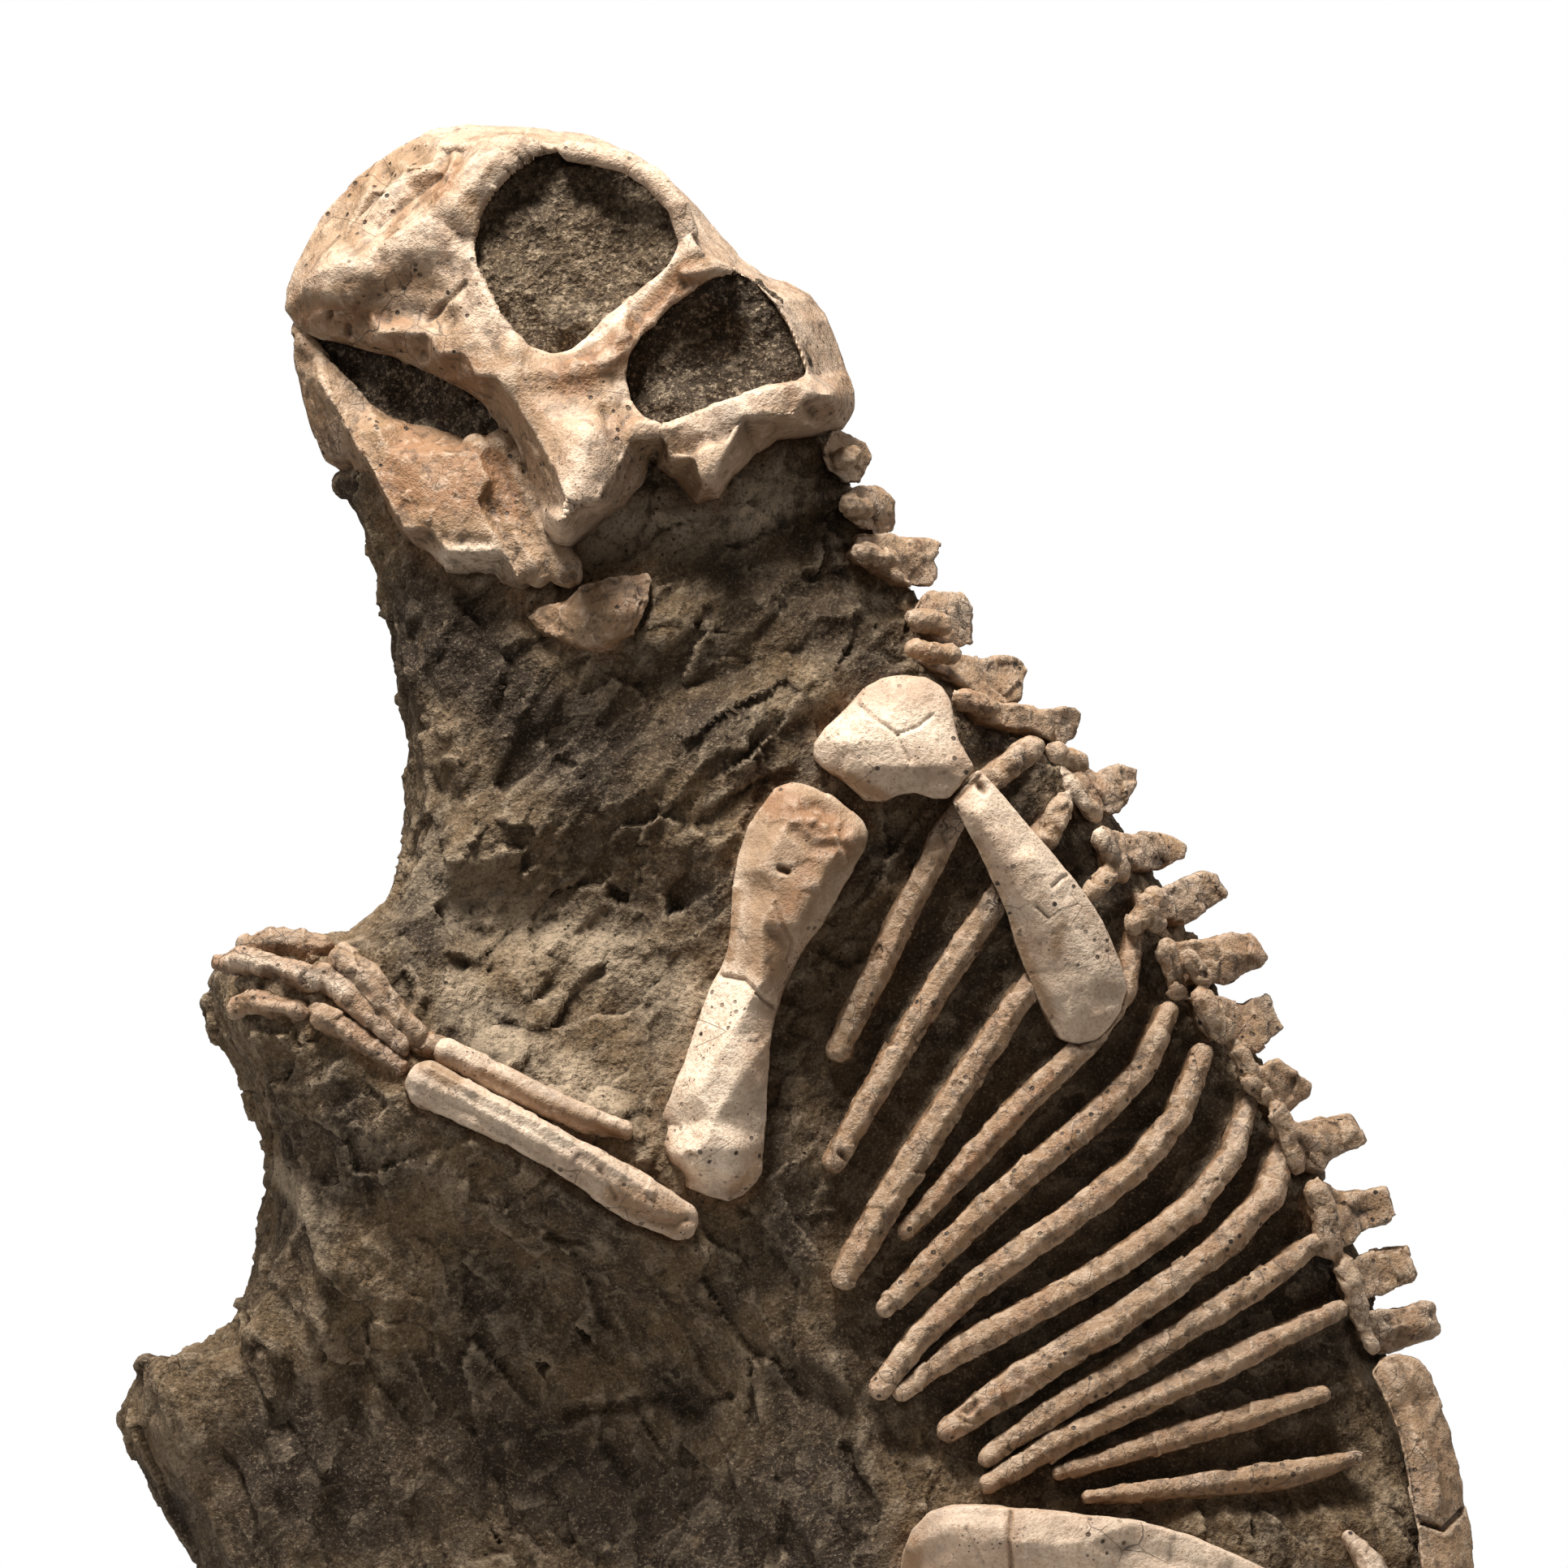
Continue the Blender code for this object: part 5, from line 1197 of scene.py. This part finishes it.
class FOSSIL_OT_leg(bpy.types.Operator):
    """Make the hip, the leg and the foot"""

    bl_idname = "fossil.leg"
    bl_label = "Hip, leg and foot"

    def execute(self, context):
        voxel = context.scene.fossil_sizes.bone_voxel
        pale, tan = material_named("scraped fossil bone"), material_named("stained fossil bone")
        for name, nodes, look, slot, budget, strokes, tones, wear, rounds in (
            ("ilium_bone", ["ilium"], tan, "tan_bone", 14000, ILIUM_STROKES, ILIUM_TONES, 1.0, 8),
            ("femur_bone", ["femur"], pale, "pale_bone", 26000, FEMUR_STROKES, FEMUR_TONES, 0.5, 16),
            ("shin_bones", ["tibia", "fibula"], pale, "pale_bone", 26000, (), (), 0.8, 6),
            ("pubis_bone", ["pubis"], pale, "pale_bone", 8000, (), (), 1.2, 4),
            ("foot_bones", FOOT_BONES, tan, "tan_bone", 24000, (), (), 1.4, 4),
        ):
            make_bone(name, nodes, look, voxel, budget, strokes, tones, wear, rounds)
        return {"FINISHED"}


def area_light(name, spot, target, width, power, colour, spread):
    """A square studio light at a spot in metres, turned to a target, its beam narrowed to spread degrees."""
    data = bpy.data.lights.new(name, "AREA")
    data.size = width
    data.energy = power
    data.color = colour
    data.spread = math.radians(spread)
    lamp = bpy.data.objects.new(name, data)
    lamp.location = spot
    lamp.rotation_euler = (Vector(target) - Vector(spot)).to_track_quat("-Z", "Y").to_euler()
    bpy.context.scene.collection.objects.link(lamp)


class FOSSIL_OT_stage(bpy.types.Operator):
    """Make the pale floor, the studio lights and the camera"""

    bl_idname = "fossil.stage"
    bl_label = "Stage"

    def execute(self, context):
        scene = context.scene
        form = bmesh.new()
        bmesh.ops.create_circle(form, cap_ends=True, segments=96, radius=1.5)
        mesh = bpy.data.meshes.new("floor")
        form.to_mesh(mesh)
        form.free()
        floor = bpy.data.objects.new("floor", mesh)
        floor.location.z = -0.0005
        scene.collection.objects.link(floor)
        paper, tree = blank_material("white paper")
        shader = add_node(
            tree, "ShaderNodeBsdfPrincipled", {"Base Color": (0.7, 0.7, 0.69, 1), "Roughness": 0.9}
        )
        add_node(tree, "ShaderNodeOutputMaterial", {"Surface": shader})
        mesh.materials.append(paper)

        world = bpy.data.worlds.new("white surround")
        scene.world = world
        world.use_nodes = True
        tree = world.node_tree
        tree.nodes.clear()
        seen, glow = (
            add_node(tree, "ShaderNodeBackground", {"Color": (1, 1, 1, 1), "Strength": strength})
            for strength in (1.0, 0.04)
        )
        to_camera = add_node(tree, "ShaderNodeLightPath", {}, "Is Camera Ray")
        both = add_node(tree, "ShaderNodeMixShader", {0: to_camera, 1: glow, 2: seen})
        add_node(tree, "ShaderNodeOutputWorld", {"Surface": both})

        area_light("key", (-0.22, -0.44, 1.42), (-0.03, -0.02, 0.36), 0.40, 3.8, (1.0, 0.985, 0.96), 50)
        area_light("left", (-1.30, -0.35, 0.75), (-0.10, 0, 0.25), 0.6, 0.8, (1.0, 0.98, 0.96), 50)
        area_light("right", (1.20, 0.15, 0.90), (0.10, 0, 0.35), 0.5, 0.7, (1.0, 0.98, 0.96), 50)
        area_light("front", (0.20, -2.2, 0.70), (0, 0, 0.30), 1.0, 0.36, (1.0, 0.99, 0.97), 40)

        distance, sensor = 6.0, 36.0
        camera = bpy.data.objects.new("camera", bpy.data.cameras.new("camera"))
        camera.location = place(PHOTO_SIDE / 2, PHOTO_SIDE / 2, 30) + Vector((0, -distance, 0))
        camera.rotation_euler = (math.radians(90), 0, 0)
        camera.data.sensor_width = sensor
        camera.data.lens = sensor * distance / (PHOTO_SIDE * METRES_PER_PX)
        camera.data.clip_end = 40
        scene.collection.objects.link(camera)
        scene.camera = camera
        scene.view_settings.view_transform = "Standard"
        scene.view_settings.look = "None"
        return {"FINISHED"}


STEPS = (
    FOSSIL_OT_rock,
    FOSSIL_OT_head_rock,
    FOSSIL_OT_head,
    FOSSIL_OT_arm,
    FOSSIL_OT_ribs,
    FOSSIL_OT_backbone,
    FOSSIL_OT_leg,
    FOSSIL_OT_stage,
)


class FOSSIL_PT_panel(bpy.types.Panel):
    """Lists the steps that make the fossil"""

    bl_idname = "FOSSIL_PT_panel"
    bl_label = "Fossil skeleton"
    bl_space_type = "VIEW_3D"
    bl_region_type = "UI"
    bl_category = "Fossil"

    def draw(self, context):
        for group in (context.scene.fossil_sizes, context.scene.fossil_colours):
            for key in group.bl_rna.properties.keys():
                if key not in {"rna_type", "name"}:
                    self.layout.prop(group, key)
        for step in STEPS:
            self.layout.operator(step.bl_idname)


CLASSES = (FossilSizes, FossilColours, *STEPS, FOSSIL_PT_panel)


def register():
    """Adds the steps, the panel and the settings to Blender."""
    for made in CLASSES:
        bpy.utils.register_class(made)
    bpy.types.Scene.fossil_sizes = PointerProperty(type=FossilSizes)
    bpy.types.Scene.fossil_colours = PointerProperty(type=FossilColours)


def unregister():
    """Takes them away again."""
    del bpy.types.Scene.fossil_colours
    del bpy.types.Scene.fossil_sizes
    for made in reversed(CLASSES):
        bpy.utils.unregister_class(made)


def main():
    """Makes every piece and the stage."""
    register()
    bpy.ops.fossil.rock()
    bpy.ops.fossil.head_rock()
    bpy.ops.fossil.head()
    bpy.ops.fossil.arm()
    bpy.ops.fossil.ribs()
    bpy.ops.fossil.backbone()
    bpy.ops.fossil.leg()
    bpy.ops.fossil.stage()


if __name__ == "__main__":
    main()
